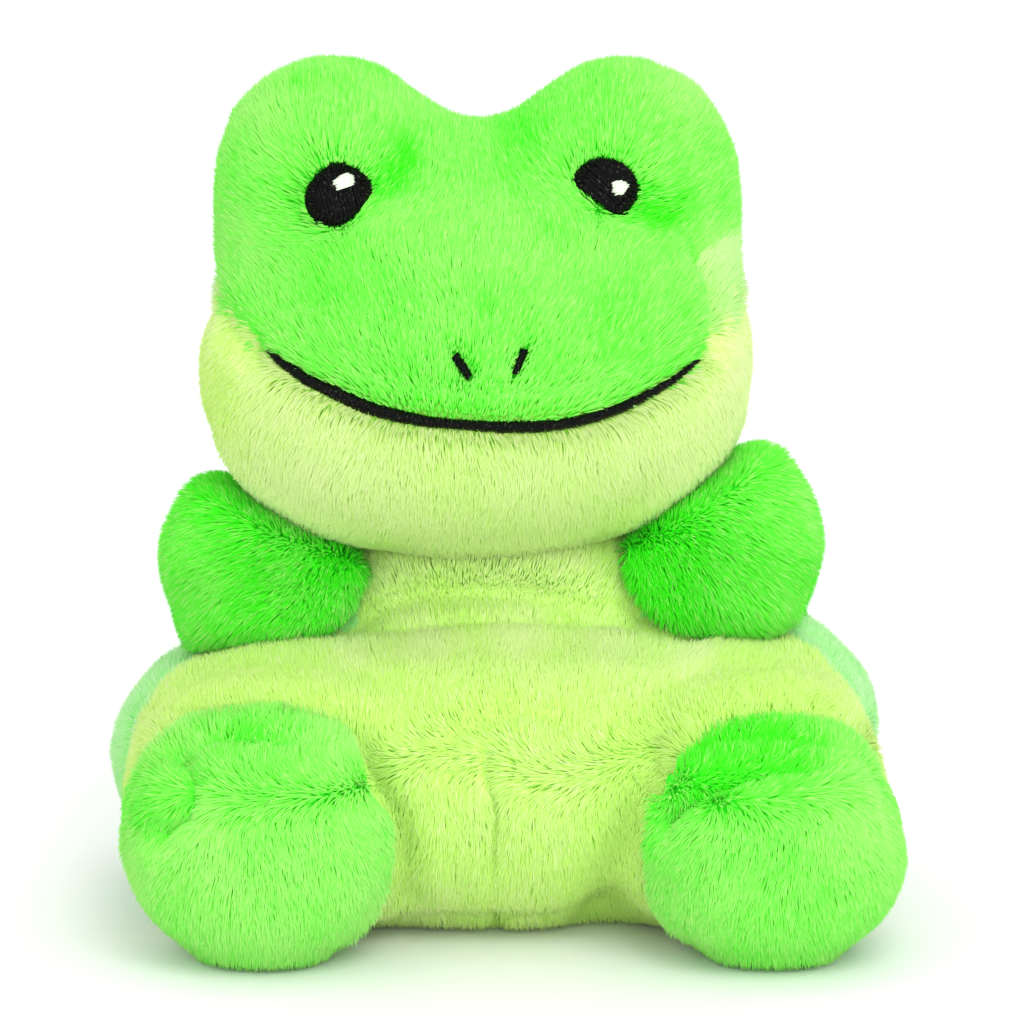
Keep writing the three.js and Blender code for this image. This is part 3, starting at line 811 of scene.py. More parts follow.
# Where handling has ruffled the pile: pixels and how far they reach in pixels, and what it does.
RUFFLED = [((760, 745), 55), ((670, 790), 30), ((255, 735), 50), ((140, 800), 40), ((150, 720), 40),
           ((830, 690), 40)]
RUFFLED_WAVE, RUFFLED_STRAY, RUFFLED_UP = 0.9, 0.4, 0.3


def between(values, corners, share):
    """Values at places inside triangles, from those at their corners."""
    chosen = values[corners]
    return (chosen * (share[..., None] if chosen.ndim == 3 else share)).sum(1)


def wisps(places, seed):
    """Numbers the wisp that each place belongs to."""
    jitter = places + 0.6 * MM * np.column_stack([wave(places, seed + axis, 3 * MM) for axis in range(3)])
    cell = np.floor(jitter / WISP).astype(np.int64)
    return np.unique(cell @ np.array([73856093, 19349663, 83492791]), return_inverse=True)[1]


def tips(root, normal, flat, tilt, reach):
    """The ends of strands that lean over by tilt."""
    direction = normal * np.cos(tilt)[:, None] + flat * np.sin(tilt)[:, None]
    return root + direction * reach[:, None]


def clear_of_threads(root, normal, flat, tilt, reach):
    """Raises and shortens the strands beside the face's threads, until their tips lie off them."""
    for grow, upright in ((10, 0.75), (6, 0.7), (3, 0.6)):
        beside = embroidered(root, grow)
        tilt, reach = np.where(beside, tilt * upright, tilt), np.where(beside, reach * 0.96, reach)
    tip = tips(root, normal, flat, tilt, reach)
    for _ in range(4):
        over = embroidered(tip, -0.6)
        tilt, reach = np.where(over, tilt * 0.6, tilt), np.where(over, reach * 0.93, reach)
        tip = tips(root, normal, flat, tilt, reach)
    return tip, reach


def blades(root, tip, normal, reach, half):
    """The blades' waists and corners, and the normals of their backs and of their flanks."""
    axis = unit(tip - root)
    side = unit(np.cross(axis, normal))
    up = np.cross(side, axis)
    waist = root + (tip - root) * WAIST + up * (reach * ARCH)[:, None]
    verts = np.stack([root - normal * BURIED, waist + side * half, waist - side * half, tip], 1)
    verts[..., 2] = np.maximum(verts[..., 2], LOWEST)
    soft = unit(normal[:, None] + np.stack([side * 0, side * 0.15, side * -0.15, axis * 0.15], 1))
    flanks = unit(np.stack([side, -side], 1) * 0.7 + (normal * 0.7 - up * 0.1)[:, None])
    return waist, verts, soft, flanks


def plant(part, choose, seed, tone):
    """The strands of one panel: their corners, their normals and their tones, as arrays."""
    random, on_head = seeded(seed), part == "head"
    corners, share = scatter(part, choose, seed)
    root = between(points_of(forms[part]), corners, share)
    if on_head:
        free = ~embroidered(root, -3)
        corners, share, root = corners[free], share[free], root[free]
    here = {name: between(values, corners, share) for name, values in nap[part].items()}
    normal, comb, count = unit(here["normal"]), unit(here["comb"]), len(root)

    pixels = to_pixel(root)
    ruffled = sum(fading(pixels, pixel, far) for pixel, far in RUFFLED)
    ruffled *= (not on_head) * (normal @ np.array(FORWARD) < 0)
    swirl = wave(root, seed + 1, 14 * MM) * SWIRL_WAVE + random.normal(0, SWIRL_STRAY, count)
    mess = RUFFLED_WAVE * wave(root, seed + 4, 3 * MM) + random.normal(0, RUFFLED_STRAY, count)
    swirl = swirl + ruffled * mess
    flat = comb * np.cos(swirl)[:, None] + np.cross(normal, comb) * np.sin(swirl)[:, None]

    tilt = LEANS[part] + TILT_WAVE * wave(root, seed + 2, 8 * MM) + random.normal(0, TILT_STRAY, count)
    downhill = np.clip(normal[:, 2] / 0.5, 0, 1) * np.clip(-2 * comb[:, 2], 0, 1)
    tilt = np.radians(tilt) + math.radians(TILT_DOWNHILL) * downhill
    tilt = tilt * here["combed"] * (1 - RUFFLED_UP * ruffled)
    reach = LENGTH * (1 + random.normal(0, LENGTH_STRAY, count)) * (1 - CREASED_SHORTER * here["short"])
    reach = np.minimum(reach, (PILE_DEPTH + OVER_PILE) / np.cos(tilt))
    reach = np.clip(np.minimum(reach, here["room"] * ROOM_SHARE + ROOM_OVER), SHORTEST, LONGEST)
    if on_head:
        tip, reach = clear_of_threads(root, normal, flat, tilt, reach)
    else:
        tip = tips(root, normal, flat, tilt, reach)

    wisp = wisps(root, seed + 3)
    size = np.bincount(wisp)
    middle = np.column_stack([np.bincount(wisp, tip[:, axis]) / size for axis in range(3)])
    pull = (random.random(len(size))[wisp] * WISP_PULL)[:, None]
    tip = tip * (1 - pull) + middle[wisp] * pull
    tip[:, 2] = np.maximum(tip[:, 2], LOWEST_TIP)
    half = (breadth(root) * (0.75 + 0.5 * random.random(count)) / 2)[:, None]
    waist, verts, soft, flanks = blades(root, tip, normal, reach, half)

    bleached = BLEACHED_PALER * (random.random(count) < BLEACHED)
    shade = tone_of(root, normal, tone) + TONE_STRAY * random.normal(size=count) + bleached
    # Painted shade: strands in a crease are made deeper.
    shade = shade - CREASE_PAINTED_SHADE * here["short"]
    shade = shade + WISP_TONE * (random.random(len(size)) - 0.5)[wisp]
    kept = np.ones(count, bool)
    if on_head:
        covers_thread = embroidered(tip, -0.5) | embroidered(waist, -0.5)
        kept = ~covers_thread | (random.random(count) < OVER_THREADS)
    return verts[kept], soft[kept], flanks[kept], np.clip(shade, 0.02, 0.96)[kept]


# The triangles of a blade, and what its corners add along and across the UV map.
BLADE = np.array([[0, 1, 2], [1, 3, 2], [0, 3, 1], [0, 2, 3]])
ALONG, ACROSS = np.array([0.02, 0.45, 0.45, 0.98]), np.array([0.01, 0.0, 0.02, 0.01])


def repeated(name, verts, pattern):
    """A mesh object of many alike pieces: verts is pieces x corners x 3, pattern their triangles."""
    count, corners = verts.shape[:2]
    faces = (np.arange(count)[:, None, None] * corners + pattern[None]).reshape(-1, 3)
    made = bpy.data.meshes.new(name)
    made.vertices.add(count * corners)
    made.vertices.foreach_set("co", verts.astype(np.float32).ravel())
    made.loops.add(faces.size)
    made.loops.foreach_set("vertex_index", faces.astype(np.int32).ravel())
    made.polygons.add(len(faces))
    made.polygons.foreach_set("loop_start", np.arange(0, faces.size, 3, dtype=np.int32))
    made.polygons.foreach_set("use_smooth", np.ones(len(faces), bool))
    made.update(calc_edges=True)
    obj = bpy.data.objects.new(name, made)
    bpy.context.scene.collection.objects.link(obj)
    return obj


def pile_piece(name, verts, soft, flanks, shade):
    """One object from the arrays of some strands."""
    obj = repeated(name, verts, BLADE)
    across = (shade[:, None] + ACROSS[BLADE].ravel()[None]).ravel()
    places = np.column_stack([across, np.tile(ALONG[BLADE].ravel(), len(verts))])
    obj.data.uv_layers.new(name="OFBake").uv.foreach_set("vector", places.astype(np.float32).ravel())
    normals = soft[:, BLADE]
    normals[:, 2:] = flanks[:, :, None]
    obj.data.normals_split_custom_set(normals.reshape(-1, 3).tolist())
    return obj


# %% [markdown]
# ## Plush
#
# The pile is dyed polyester: a saturated green, painted deeper at the roots as painted shade, and
# paler to the tips as painted light where the light gets into the hairs. Sheen gives the bright rim that
# velvet and plush have where they turn away.

# %% Plush materials
# The colour sockets of a Mix node share their names with others, so they go by number.
MIX_A, MIX_B, MIX_RESULT = 6, 7, 2


def plush(name, deep, pale, sheen_tint):
    """Colour from root to tip along V, between a deep and a pale tone along U."""
    material, shader = new_material(name)
    place = add_node(material, "ShaderNodeUVMap", uv_map="OFBake")
    split = add_node(material, "ShaderNodeSeparateXYZ", [("Vector", place, "UV")])
    ramps = [add_ramp(material, split, "Y", stops) for stops in (deep, pale)]
    mix = add_node(material, "ShaderNodeMix", [("Factor", split, "X"), (MIX_A, ramps[0], "Color"),
                                               (MIX_B, ramps[1], "Color")], data_type="RGBA")
    link(material, mix, MIX_RESULT, shader, "Base Color")
    set_inputs(shader, {"Roughness": 0.75, "Specular IOR Level": 0.1, "Sheen Weight": 0.15,
                        "Sheen Roughness": 0.5, "Sheen Tint": linear(sheen_tint)})
    return material


green_plush = plush(
    "green_polyester_plush",
    [(0.0, "#34FF18"), (0.45, "#3CFF1A"), (1.0, "#4DFF20")],
    [(0.0, "#84FF50"), (0.5, "#A2FF6A"), (1.0, "#D0FF9C")],
    "#C8FFA0",
)
lime_plush = plush(
    "lime_polyester_plush",
    [(0.0, "#C0FF66"), (0.45, "#CCFF74"), (1.0, "#DCFF8C")],
    [(0.0, "#DCFF92"), (0.5, "#E8FFA8"), (1.0, "#FAFFD0")],
    "#ECFFC0",
)
# A paler copy of the green plush for the back: painted light, where the back is backlit.
backlit_green_plush = plush(
    "backlit_green_polyester_plush",
    [(0.0, "#5CFF48"), (0.45, "#84FF6C"), (1.0, "#A0FF88")],
    [(0.0, "#90FF78"), (0.5, "#C0FFAC"), (1.0, "#E8FFD8")],
    "#DCFFD0",
)
# A paler copy of the green plush: painted light on the lit side of the face panel.
lit_side_plush = plush(
    "lit_side_polyester_plush",
    [(0.0, "#70FF44"), (0.45, "#90FF5C"), (1.0, "#ACFF74")],
    [(0.0, "#A0FF6C"), (0.5, "#C8FF90"), (1.0, "#E4FFBC")],
    "#DCFFC0",
)

# %% Cover the toy with pile
STRANDS_A_PIECE = 48000


def all_over(points):
    return np.ones(len(points), bool)


# Painted light and painted shade: pixels, how far they reach in pixels, and the change of tone.
PAINTED_SHADE_AND_LIGHT = [
    ((522, 150), 34, -0.30), ((398, 165), 18, -0.45), ((300, 100), 9, -0.35), ((648, 222), 22, -0.35),
    ((270, 130), 45, 0.3), ((670, 110), 50, 0.22), ((700, 262), 26, 0.5), ((660, 240), 16, 0.2),
    ((610, 550), 40, -0.45), ((650, 590), 40, -0.25), ((770, 500), 50, 0.15), ((345, 560), 26, -0.30),
    ((185, 600), 26, -0.10), ((230, 640), 30, -0.20), ((245, 738), 50, -0.30), ((765, 752), 60, -0.40),
    ((205, 350), 40, -0.5), ((400, 590), 50, 0.3), ((580, 590), 50, 0.3), ((625, 820), 34, -0.5),
    ((350, 668), 24, 0.5), ((430, 655), 26, 0.5), ((520, 650), 30, 0.5), ((610, 655), 26, 0.5),
    ((690, 668), 24, 0.5), ((150, 800), 30, -0.3), ((700, 770), 36, -0.3), ((300, 720), 30, -0.2),
    ((165, 800), 26, -0.25), ((385, 545), 22, -0.5), ((500, 552), 40, -0.1), ((600, 880), 34, -0.50),
    ((400, 850), 24, -0.30), ((270, 850), 50, 0.15), ((730, 880), 60, 0.10), ((330, 470), 50, 0.15),
    ((440, 280), 60, 0.08), ((222, 400), 30, -0.5), ((500, 600), 50, 0.3), ((840, 820), 40, 0.1),
]


def tone_of(root, normal, base):
    """The tone of each strand: cloudy, with painted light and shade where the picture shows it paler or
    deeper.
    """
    pixels, seen = to_pixel(root), normal @ np.array(FORWARD) < 0
    tone = base + 0.10 * wave(root, 900, 20 * MM) + 0.06 * wave(root, 901, 7 * MM)
    for pixel, far, change in PAINTED_SHADE_AND_LIGHT:
        tone = tone + seen * change * fading(pixels, pixel, far)
    return tone


OVERHANG, OVERHANG_TOP = 14 * MM, 12 * MM
HAUNCH_OVER, HAUNCH_FROM, HAUNCH_RISE = 2.6 * MM, 20 * MM, 8 * MM


def on_belly(points):
    """The belly's pile hangs over its lower seam, and that of the haunches lies over it higher up."""
    low = np.clip(1 - points[:, 2] / OVERHANG_TOP, 0, 1)
    high = np.clip((points[:, 2] - HAUNCH_FROM) / HAUNCH_RISE, 0, 1)
    mixing = 0.8 * MM * high * wave(points, 80, 2.5 * MM)
    return BELLY_SEAM.height(points) > HAUNCH_OVER * high + mixing - OVERHANG * low


# The strip at the face panel's side that is painted paler, as painted light: across, down and width in
# pixels.
PAINTED_LIT_SIDE = [(716, 268, 44), (724, 300, 50), (724, 352, 50)]
MIXED_FROM, MIXED_SPAN = 26 * MM, 6 * MM


def above_seam(points):
    """The height over the lips, with colours that mix where no stitches hold the seam down."""
    mixing = np.clip((np.abs(into(HEAD, points)[:, 0]) - MIXED_FROM) / MIXED_SPAN, 0, 1)
    return above_lips(points) + mixing * 1.2 * MM * wave(points, 78, 2.5 * MM)


def on_painted_lit_side(points):
    """Where the face panel's pile is painted paler, as painted light, on the toy's left."""
    return near_line(to_pixel(points), PAINTED_LIT_SIDE, 8 * wave(points, 79, 3 * MM))


def before_side_seam(points):
    return SIDE_SEAM.height(points) > 0


def on_face(points):
    return before_side_seam(points) & (above_seam(points) > 0) & ~on_painted_lit_side(points)


def on_side(points):
    return before_side_seam(points) & (above_seam(points) > 0) & on_painted_lit_side(points)


def on_chin(points):
    return before_side_seam(points) & (above_seam(points) <= 0)


# Each pile: its name, its part, where it grows, its material, its slot and its tone.
PILES = [
    ("head_top_pile", "head", on_face, green_plush, "green_plush", 0.45),
    ("head_side_pile", "head", on_side, lit_side_plush, "green_plush", 0.6),
    ("chin_pile", "head", on_chin, lime_plush, "lime_plush", 0.5),
    ("head_back_pile", "head", lambda p: ~before_side_seam(p), green_plush, "green_plush", 0.5),
    ("belly_pile", "torso", on_belly, lime_plush, "lime_plush", 0.15),
    ("back_pile", "torso", lambda p: ~on_belly(p), backlit_green_plush, "green_plush", 0.5),
    ("left_arm_pile", "left_arm", all_over, green_plush, "green_plush", 0.2),
    ("right_arm_pile", "right_arm", all_over, green_plush, "green_plush", 0.2),
    ("left_foot_pile", "left_foot", all_over, green_plush, "green_plush", 0.55),
    ("right_foot_pile", "right_foot", all_over, green_plush, "green_plush", 0.68),
]
planted = 0
for number, (name, part, choose, material, slot, tone) in enumerate(PILES):
    verts, soft, flanks, shade = plant(part, choose, 100 + 10 * number, tone)
    sowings = math.ceil(len(verts) / STRANDS_A_PIECE)
    for sowing in range(sowings):
        these = slice(sowing, None, sowings)
        pile = pile_piece(f"{name}_{sowing + 1}", verts[these], soft[these], flanks[these], shade[these])
        pile.data.materials.append(material)
        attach(pile, part)
    planted += len(verts)
    print(name, len(verts), "strands in", sowings, "pieces")
print("planted", planted, "strands,", planted * 4, "triangles")

# %% [markdown]
# ## Covers
#
# Under the pile is the knitted backing that its hairs are locked into. Each cover is the form cut
# along its seams in edit mode, with a small gap left for the seam, and given the thickness of the
# knit by Solidify. Where the seam curves, as between face and chin, the form is first bent so that
# the seam lies flat, then cut, then bent back.

# %% Backing material
KNIT_RIB = 1.1 * MM


def knit(name, deep, pale):
    """A fine knit: ribs of loops, with painted shade that makes the furrows darker."""
    ribs, stops = {"Scale": 1 / (KNIT_RIB * 3.14), "Distortion": 1.5}, [(0.0, deep), (1.0, pale)]
    return grained(name, "ShaderNodeTexWave", "Fac", ribs, stops, 0.4, 0.1 * MM, wave_type="BANDS")


green_knit = knit("green_knitted_backing", "#30E81C", "#50FF34")
lime_knit = knit("lime_knitted_backing", "#A8F054", "#CCFF7C")
# A paler copy of the green knit for the back: painted light, where the back is backlit.
backlit_green_knit = knit("backlit_green_knitted_backing", "#60E850", "#90FF7C")

# %% Cut the covers
BACKING = 0.9 * MM
SEAM_GAP = 0.1 * MM
COVER_SHARE = 0.3  # of the faces, kept by Decimate


def keep_side(obj, point, normal, fill=False):
    """Cuts away what lies behind a plane."""
    edit_all(obj, bpy.ops.mesh.bisect, plane_co=point, plane_no=normal, clear_inner=True, use_fill=fill)


def dress(piece, part, material):
    """Gives a piece its material and its body."""
    activate(piece)
    bpy.ops.object.shade_smooth()
    piece.data.materials.clear()
    piece.data.materials.append(material)
    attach(piece, part)


def cover(name, part, plane, side, node, material, mouth=0):
    """One sewn panel of a form, on one side of its seam plane, and of the mouth's seam."""
    piece = copy_of(forms[part], name)
    normal = plane.normal * side
    keep_side(piece, plane.point + normal * SEAM_GAP / 2, normal)
    if mouth:
        bent = points_of(piece)
        bent[:, 2] -= mouth_level(bent)
        set_points(piece, bent)
        keep_side(piece, (0, 0, mouth * SEAM_GAP / 2), (0, 0, mouth))
        straight = points_of(piece)
        straight[:, 2] += mouth_level(straight)
        set_points(piece, straight)
    apply_modifier(piece, "SOLIDIFY", thickness=BACKING, offset=-1)
    apply_modifier(piece, "DECIMATE", ratio=COVER_SHARE)
    dress(piece, part, material)
    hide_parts(node)
    print(name, len(piece.data.polygons), "faces")


cover("head_top_cover", "head", SIDE_SEAM, 1, "head_top_panel", green_knit, mouth=1)
cover("chin_cover", "head", SIDE_SEAM, 1, "chin_panel", lime_knit, mouth=-1)
cover("head_back_cover", "head", SIDE_SEAM, -1, "head_back_panel", green_knit)
cover("belly_cover", "torso", BELLY_SEAM, 1, "belly_panel", lime_knit)
cover("back_cover", "torso", BELLY_SEAM, -1, "back_panel", backlit_green_knit)
for limb in ("left_arm", "left_foot", "right_arm", "right_foot"):
    for panel, way in (("front", 1), ("back" if "arm" in limb else "top", -1)):
        name = f"{limb}_{panel}"
        cover(f"{name}_cover", limb, LIMBS[limb], way, f"{name}_panel", green_knit)

# %% [markdown]
# ## Filling
#
# Inside the covers are white crimped polyester fibre, and pellets in the seat's pouch and in the
# feet, which give the toy its floppy weight. They are the same forms, drawn in by the backing.

# %% Filling materials
def speckled(name, deep, pale, grain, height, texture, output):
    """A grain of some millimetres."""
    return grained(name, texture, output, {"Scale": 1 / grain}, [(0.2, deep), (0.8, pale)], 0.6, height)


fibre = speckled("crimped_polyester_fibre", "#E2E2DA", "#FAFAF4", 2.5 * MM, 0.8 * MM,
                 "ShaderNodeTexNoise", "Fac")
pouch = speckled("pellet_pouch_cloth", "#F0EEE4", "#D6D2C2", 3.0 * MM, 0.9 * MM,
                 "ShaderNodeTexVoronoi", "Distance")

# %% Place the fillings
POUCH_TOP = 16 * MM


def filling(name, part, node, material, slot, above=None):
    """above: 1 keeps what is over the pouch's top, -1 what is under it."""
    piece = copy_of(fillings[part], name)
    if above:
        keep_side(piece, (0, 0, POUCH_TOP + above * SEAM_GAP / 2), (0, 0, above), fill=True)
    dress(piece, part, material)
    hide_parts(node)
    print(name, len(piece.data.polygons), "faces")


filling("head_fibre", "head", "head_stuffing", fibre, "polyester_fibre")
filling("body_fibre", "torso", "body_stuffing", fibre, "polyester_fibre", above=1)
filling("seat_pellets", "torso", "pellet_pouch", pouch, "pellet_cloth", above=-1)
for side in ("left", "right"):
    filling(f"{side}_arm_fibre", f"{side}_arm", f"{side}_arm_stuffing", fibre, "polyester_fibre")
    filling(f"{side}_foot_beans", f"{side}_foot", f"{side}_foot_pellets", pouch, "pellet_cloth")
for obj in fillings.values():
    bpy.data.objects.remove(obj)

# %% [markdown]
# ## Embroidery
#
# The face is machine embroidery in rayon thread: satin stitches side by side, which shine along
# their length and stand up a little from the pile that they hold down. Each thread is a thin tube
# laid over a low core. The core and the threads follow the form under them, and every stitch has its
# own small error, so the edges are ragged as in the picture.

# %% Thread materials
PAINTED_FLECK = 0.35 * MM


def thread(name, deep, pale, roughness, gloss):
    """Rayon thread: smooth, with painted highlights as pale flecks where a filament stands out."""
    material, shader = new_material(name)
    place = add_node(material, "ShaderNodeTexCoord")
    noise = add_node(material, "ShaderNodeTexNoise", [("Vector", place, "Object")])
    set_inputs(noise, {"Scale": 1 / PAINTED_FLECK, "Detail": 3})
    ramp = add_ramp(material, noise, "Fac", [(0.45, deep), (0.6, deep), (0.72, pale)])
    link(material, ramp, "Color", shader, "Base Color")
    set_inputs(shader, {"Roughness": roughness, "Specular IOR Level": gloss})
    return material


black_thread = thread("black_rayon_thread", "#050505", "#4A4A44", 0.55, 0.12)
white_thread = thread("white_rayon_thread", "#E6F2DE", "#FFFFFF", 0.5, 0.3)
green_thread = thread("green_sewing_thread", "#3CB428", "#6CE050", 0.6, 0.3)

# %% Lay threads and cores
PIXEL = DISTANCE / FOCAL_PIXELS
THREAD, THREAD_SIDES = 0.17 * MM, 5
# The rim and the top of an eye over the cloth, and how its dome curves between them.
EYE_RIM, EYE_TOP, DOME_CURVE = 1.3 * MM, 2.5 * MM, 2.5
LENS_RINGS, LENS_BASE = 6, 0.1 * MM
# On steep places a lift along the ray grows no more than as for this slope.
STEEPEST = 0.5


def raised(pixels, lifts):
    """Places over the head, moved towards the camera along the pixels' rays to lift off it."""
    found = []
    for pixel, lift in zip(pixels, lifts):
        ray = pixel_ray(*pixel)
        place, normal, _, _ = trees["head"].ray_cast(camera.location, ray)
        if place is None:
            found.append(found[-1])
            continue
        found.append(np.array(place - ray * (lift / max(-normal.dot(ray), STEEPEST))))
    return np.array(found)


def closed(name, verts, pattern):
    """Alike closed pieces whose faces point outwards."""
    obj = repeated(name, verts, np.array(pattern))
    edit_all(obj, bpy.ops.mesh.normals_make_consistent, inside=False)
    return obj


def tubes(name, lines, radius):
    """Closed threads along lines: lines is threads x places x 3, radius threads x places."""
    lines, radius = np.asarray(lines), np.asarray(radius)
    count, steps = lines.shape[:2]
    tangent = unit(np.gradient(lines, axis=1))
    side = unit(np.cross(tangent, np.array(FORWARD)))
    up = np.cross(side, tangent)
    turns = np.arange(THREAD_SIDES) * 2 * math.pi / THREAD_SIDES
    ring = side[:, :, None] * np.cos(turns)[:, None] + up[:, :, None] * np.sin(turns)[:, None]
    rings = (lines[:, :, None] + ring * radius[:, :, None, None]).reshape(count, steps * THREAD_SIDES, 3)
    verts = np.concatenate([rings, lines[:, :1], lines[:, -1:]], 1)
    first, last = steps * THREAD_SIDES, steps * THREAD_SIDES + 1
    pattern = []
    for step in range(steps - 1):
        for k in range(THREAD_SIDES):
            a, b = step * THREAD_SIDES + k, step * THREAD_SIDES + (k + 1) % THREAD_SIDES
            pattern += [(a, b, a + THREAD_SIDES), (b, b + THREAD_SIDES, a + THREAD_SIDES)]
    for k in range(THREAD_SIDES):
        pattern.append((first, (k + 1) % THREAD_SIDES, k))
        pattern.append((last, last - 1 - THREAD_SIDES + k, last - 1 - THREAD_SIDES + (k + 1) % THREAD_SIDES))
    return closed(name, verts, pattern)


def threads(name, lines, profile):
    """Tubes of thread along lines, with a share of the thread's radius at each of their places."""
    return tubes(name, lines, np.tile(THREAD * np.array(profile), (len(lines), 1)))


def lens(name, outline, low, high):
    """A closed low dome over an outline in pixels, from low at its rim to high in its middle."""
    outline = np.array(outline)
    middle, around = outline.mean(0), len(outline)
    verts = []
    for ring in range(LENS_RINGS, 0, -1):
        share = ring / LENS_RINGS
        lift = low + (high - low) * (1 - share**DOME_CURVE)
        verts.append(raised(middle + (outline - middle) * share, np.full(around, lift)))
    verts.append(raised([middle], [high]))
    verts.append(raised([*outline, middle], np.full(around + 1, LENS_BASE)))
    pattern, last = [], LENS_RINGS * around
    for ring in range(LENS_RINGS - 1):
        for k in range(around):
            a, b = ring * around + k, ring * around + (k + 1) % around
            pattern += [(a, b, a + around), (b, b + around, a + around)]
    for k in range(around):
        following = (k + 1) % around
        pattern.append((last - around + k, last - around + following, last))
        pattern += [(last + 1 + k, k, last + 1 + following), (last + 1 + following, k, following)]
        pattern.append((last + 1 + following, last + 1 + around, last + 1 + k))
    return closed(name, np.concatenate(verts)[None], pattern)


def chords(outline, turn, spacing, random):
    """Parallel lines across an outline, turned by some degrees: two end pixels each."""
    outline = np.array(outline)
    middle = outline.mean(0)
    spin = np.array([[math.cos(turn), -math.sin(turn)], [math.sin(turn), math.cos(turn)]])
    flat = (outline - middle) @ spin
    found = []
    for offset in np.arange(flat[:, 1].min() + spacing / 2, flat[:, 1].max(), spacing):
        crossings = []
        for (ax, ay), (bx, by) in zip(flat, np.roll(flat, -1, 0)):
            if (ay > offset) != (by > offset):
                crossings.append(ax + (offset - ay) * (bx - ax) / (by - ay))
        if len(crossings) < 2 or max(crossings) - min(crossings) < 2 * spacing:
            continue
        ends = np.array([[min(crossings), offset], [max(crossings), offset]])
        ends += random.normal(0, 0.25 * spacing, (2, 2))
        found.append(ends @ spin.T + middle)
    return found


def finish_piece(obj, part, material, node):
    dress(obj, part, material)
    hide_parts(node)
    low, high = points_of(obj).min(0) / MM, points_of(obj).max(0) / MM
    print(obj.name, len(obj.data.polygons), "faces, from", low.round(1), "to", high.round(1))


# %% Embroider the eyes
CHORD_SPACING, RIM_SPACING = 1.9, 2.0  # in pixels
RIM_ARCH = np.array([0.9, 1.55, 2.0, 2.15]) * MM
GLINT_ARCH = np.array([-0.1, 0.2, 0.3, 0.3, 0.2, -0.1]) * MM


def eye_lift(share):
    return EYE_RIM + (EYE_TOP - EYE_RIM) * (1 - np.clip(share, 0, 1) ** DOME_CURVE)


def embroider_eye(name, outline, turn, seed, node):
    """A dome filled with parallel threads, with short ragged threads round its rim."""
    random, middle = seeded(seed), np.array(outline).mean(0)
    core = lens(name + "_core", outline, EYE_RIM - 0.1 * MM, EYE_TOP - 0.1 * MM)
    lines = []
    for ends in chords(outline, math.radians(turn), CHORD_SPACING, random):
        pixels = ends[0] + (ends[1] - ends[0]) * np.linspace(0.03, 0.97, 9)[:, None]
        radius = np.linalg.norm(pixels - middle, axis=1) / EYE_RADIUS
        lines.append(raised(pixels, eye_lift(radius) + 0.04 * MM))
    fill = threads(name + "_fill", lines, [0.6, 1, 1, 1, 1, 1, 1, 1, 0.6])
    dense = np.array(outline + outline[:1])
    rim = []
    for a, b in zip(dense[:-1], dense[1:]):
        for share in np.arange(0, 1, RIM_SPACING / np.linalg.norm(b - a)):
            edge = a + (b - a) * (share + random.normal(0, 0.1))
            outer = middle + (edge - middle) * random.uniform(0.99, 1.08) + random.normal(0, 0.7, 2)
            inner = middle + (edge - middle) * random.uniform(0.68, 0.82) + random.normal(0, 0.7, 2)
            pixels = outer + (inner - outer) * np.linspace(0, 1, 4)[:, None]
            rim.append(raised(pixels, RIM_ARCH + random.uniform(-0.1, 0.2) * MM))
    edge = threads(name + "_rim", rim, [0.5, 1, 1, 0.7])
    finish_piece(joined([core, fill, edge], name), "head", black_thread, node)


def embroider_glint(name, outline, turn, seed, node):
    """A small white patch of thread on top of an eye."""
    random = seeded(seed)
    core = lens(name + "_core", np.array(outline), EYE_TOP, EYE_TOP + 0.15 * MM)
    lines = []
    for ends in chords(outline, math.radians(turn), CHORD_SPACING, random):
        ends = ends + (ends - ends.mean(0)) * random.uniform(0.0, 0.25)
        pixels = ends[0] + (ends[1] - ends[0]) * np.linspace(0, 1, 6)[:, None]
        lines.append(raised(pixels, EYE_TOP + GLINT_ARCH))
    fill = threads(name + "_fill", lines, [0.5, 1, 1.1, 1.1, 1, 0.5])
    finish_piece(joined([core, fill], name), "head", white_thread, node)


embroider_eye("right_eye_stitching", RIGHT_EYE, 75, 41, "right_eye")
embroider_eye("left_eye_stitching", LEFT_EYE, 40, 42, "left_eye")
embroider_glint("right_glint_stitching", RIGHT_GLINT, -18, 43, "right_eye_glint")
embroider_glint("left_glint_stitching", LEFT_GLINT, -25, 44, "left_eye_glint")


# %% Embroider the nostrils and the mouth
def along_line(line, spacing):
    """Places, widths and directions at even steps along a line in pixels."""
    line = np.array(line, float)
    length = np.concatenate([[0], np.cumsum(np.linalg.norm(np.diff(line[:, :2], axis=0), axis=1))])
    at = np.arange(0, length[-1] + 0.01, spacing)
    places = np.column_stack([np.interp(at, length, line[:, column]) for column in range(3)])
    return places[:, :2], places[:, 2], unit(np.gradient(places[:, :2], axis=0))


SATIN_SPACING, CORE_SPACING = 1.8, 4.0  # in pixels
SATIN_ARCH = np.array([1.3, 1.95, 2.15, 1.95, 1.3])
CORE_LIFT, CORE_RADIUS, THINNEST_CORE = 1.5 * MM, 0.34, 0.1 * MM


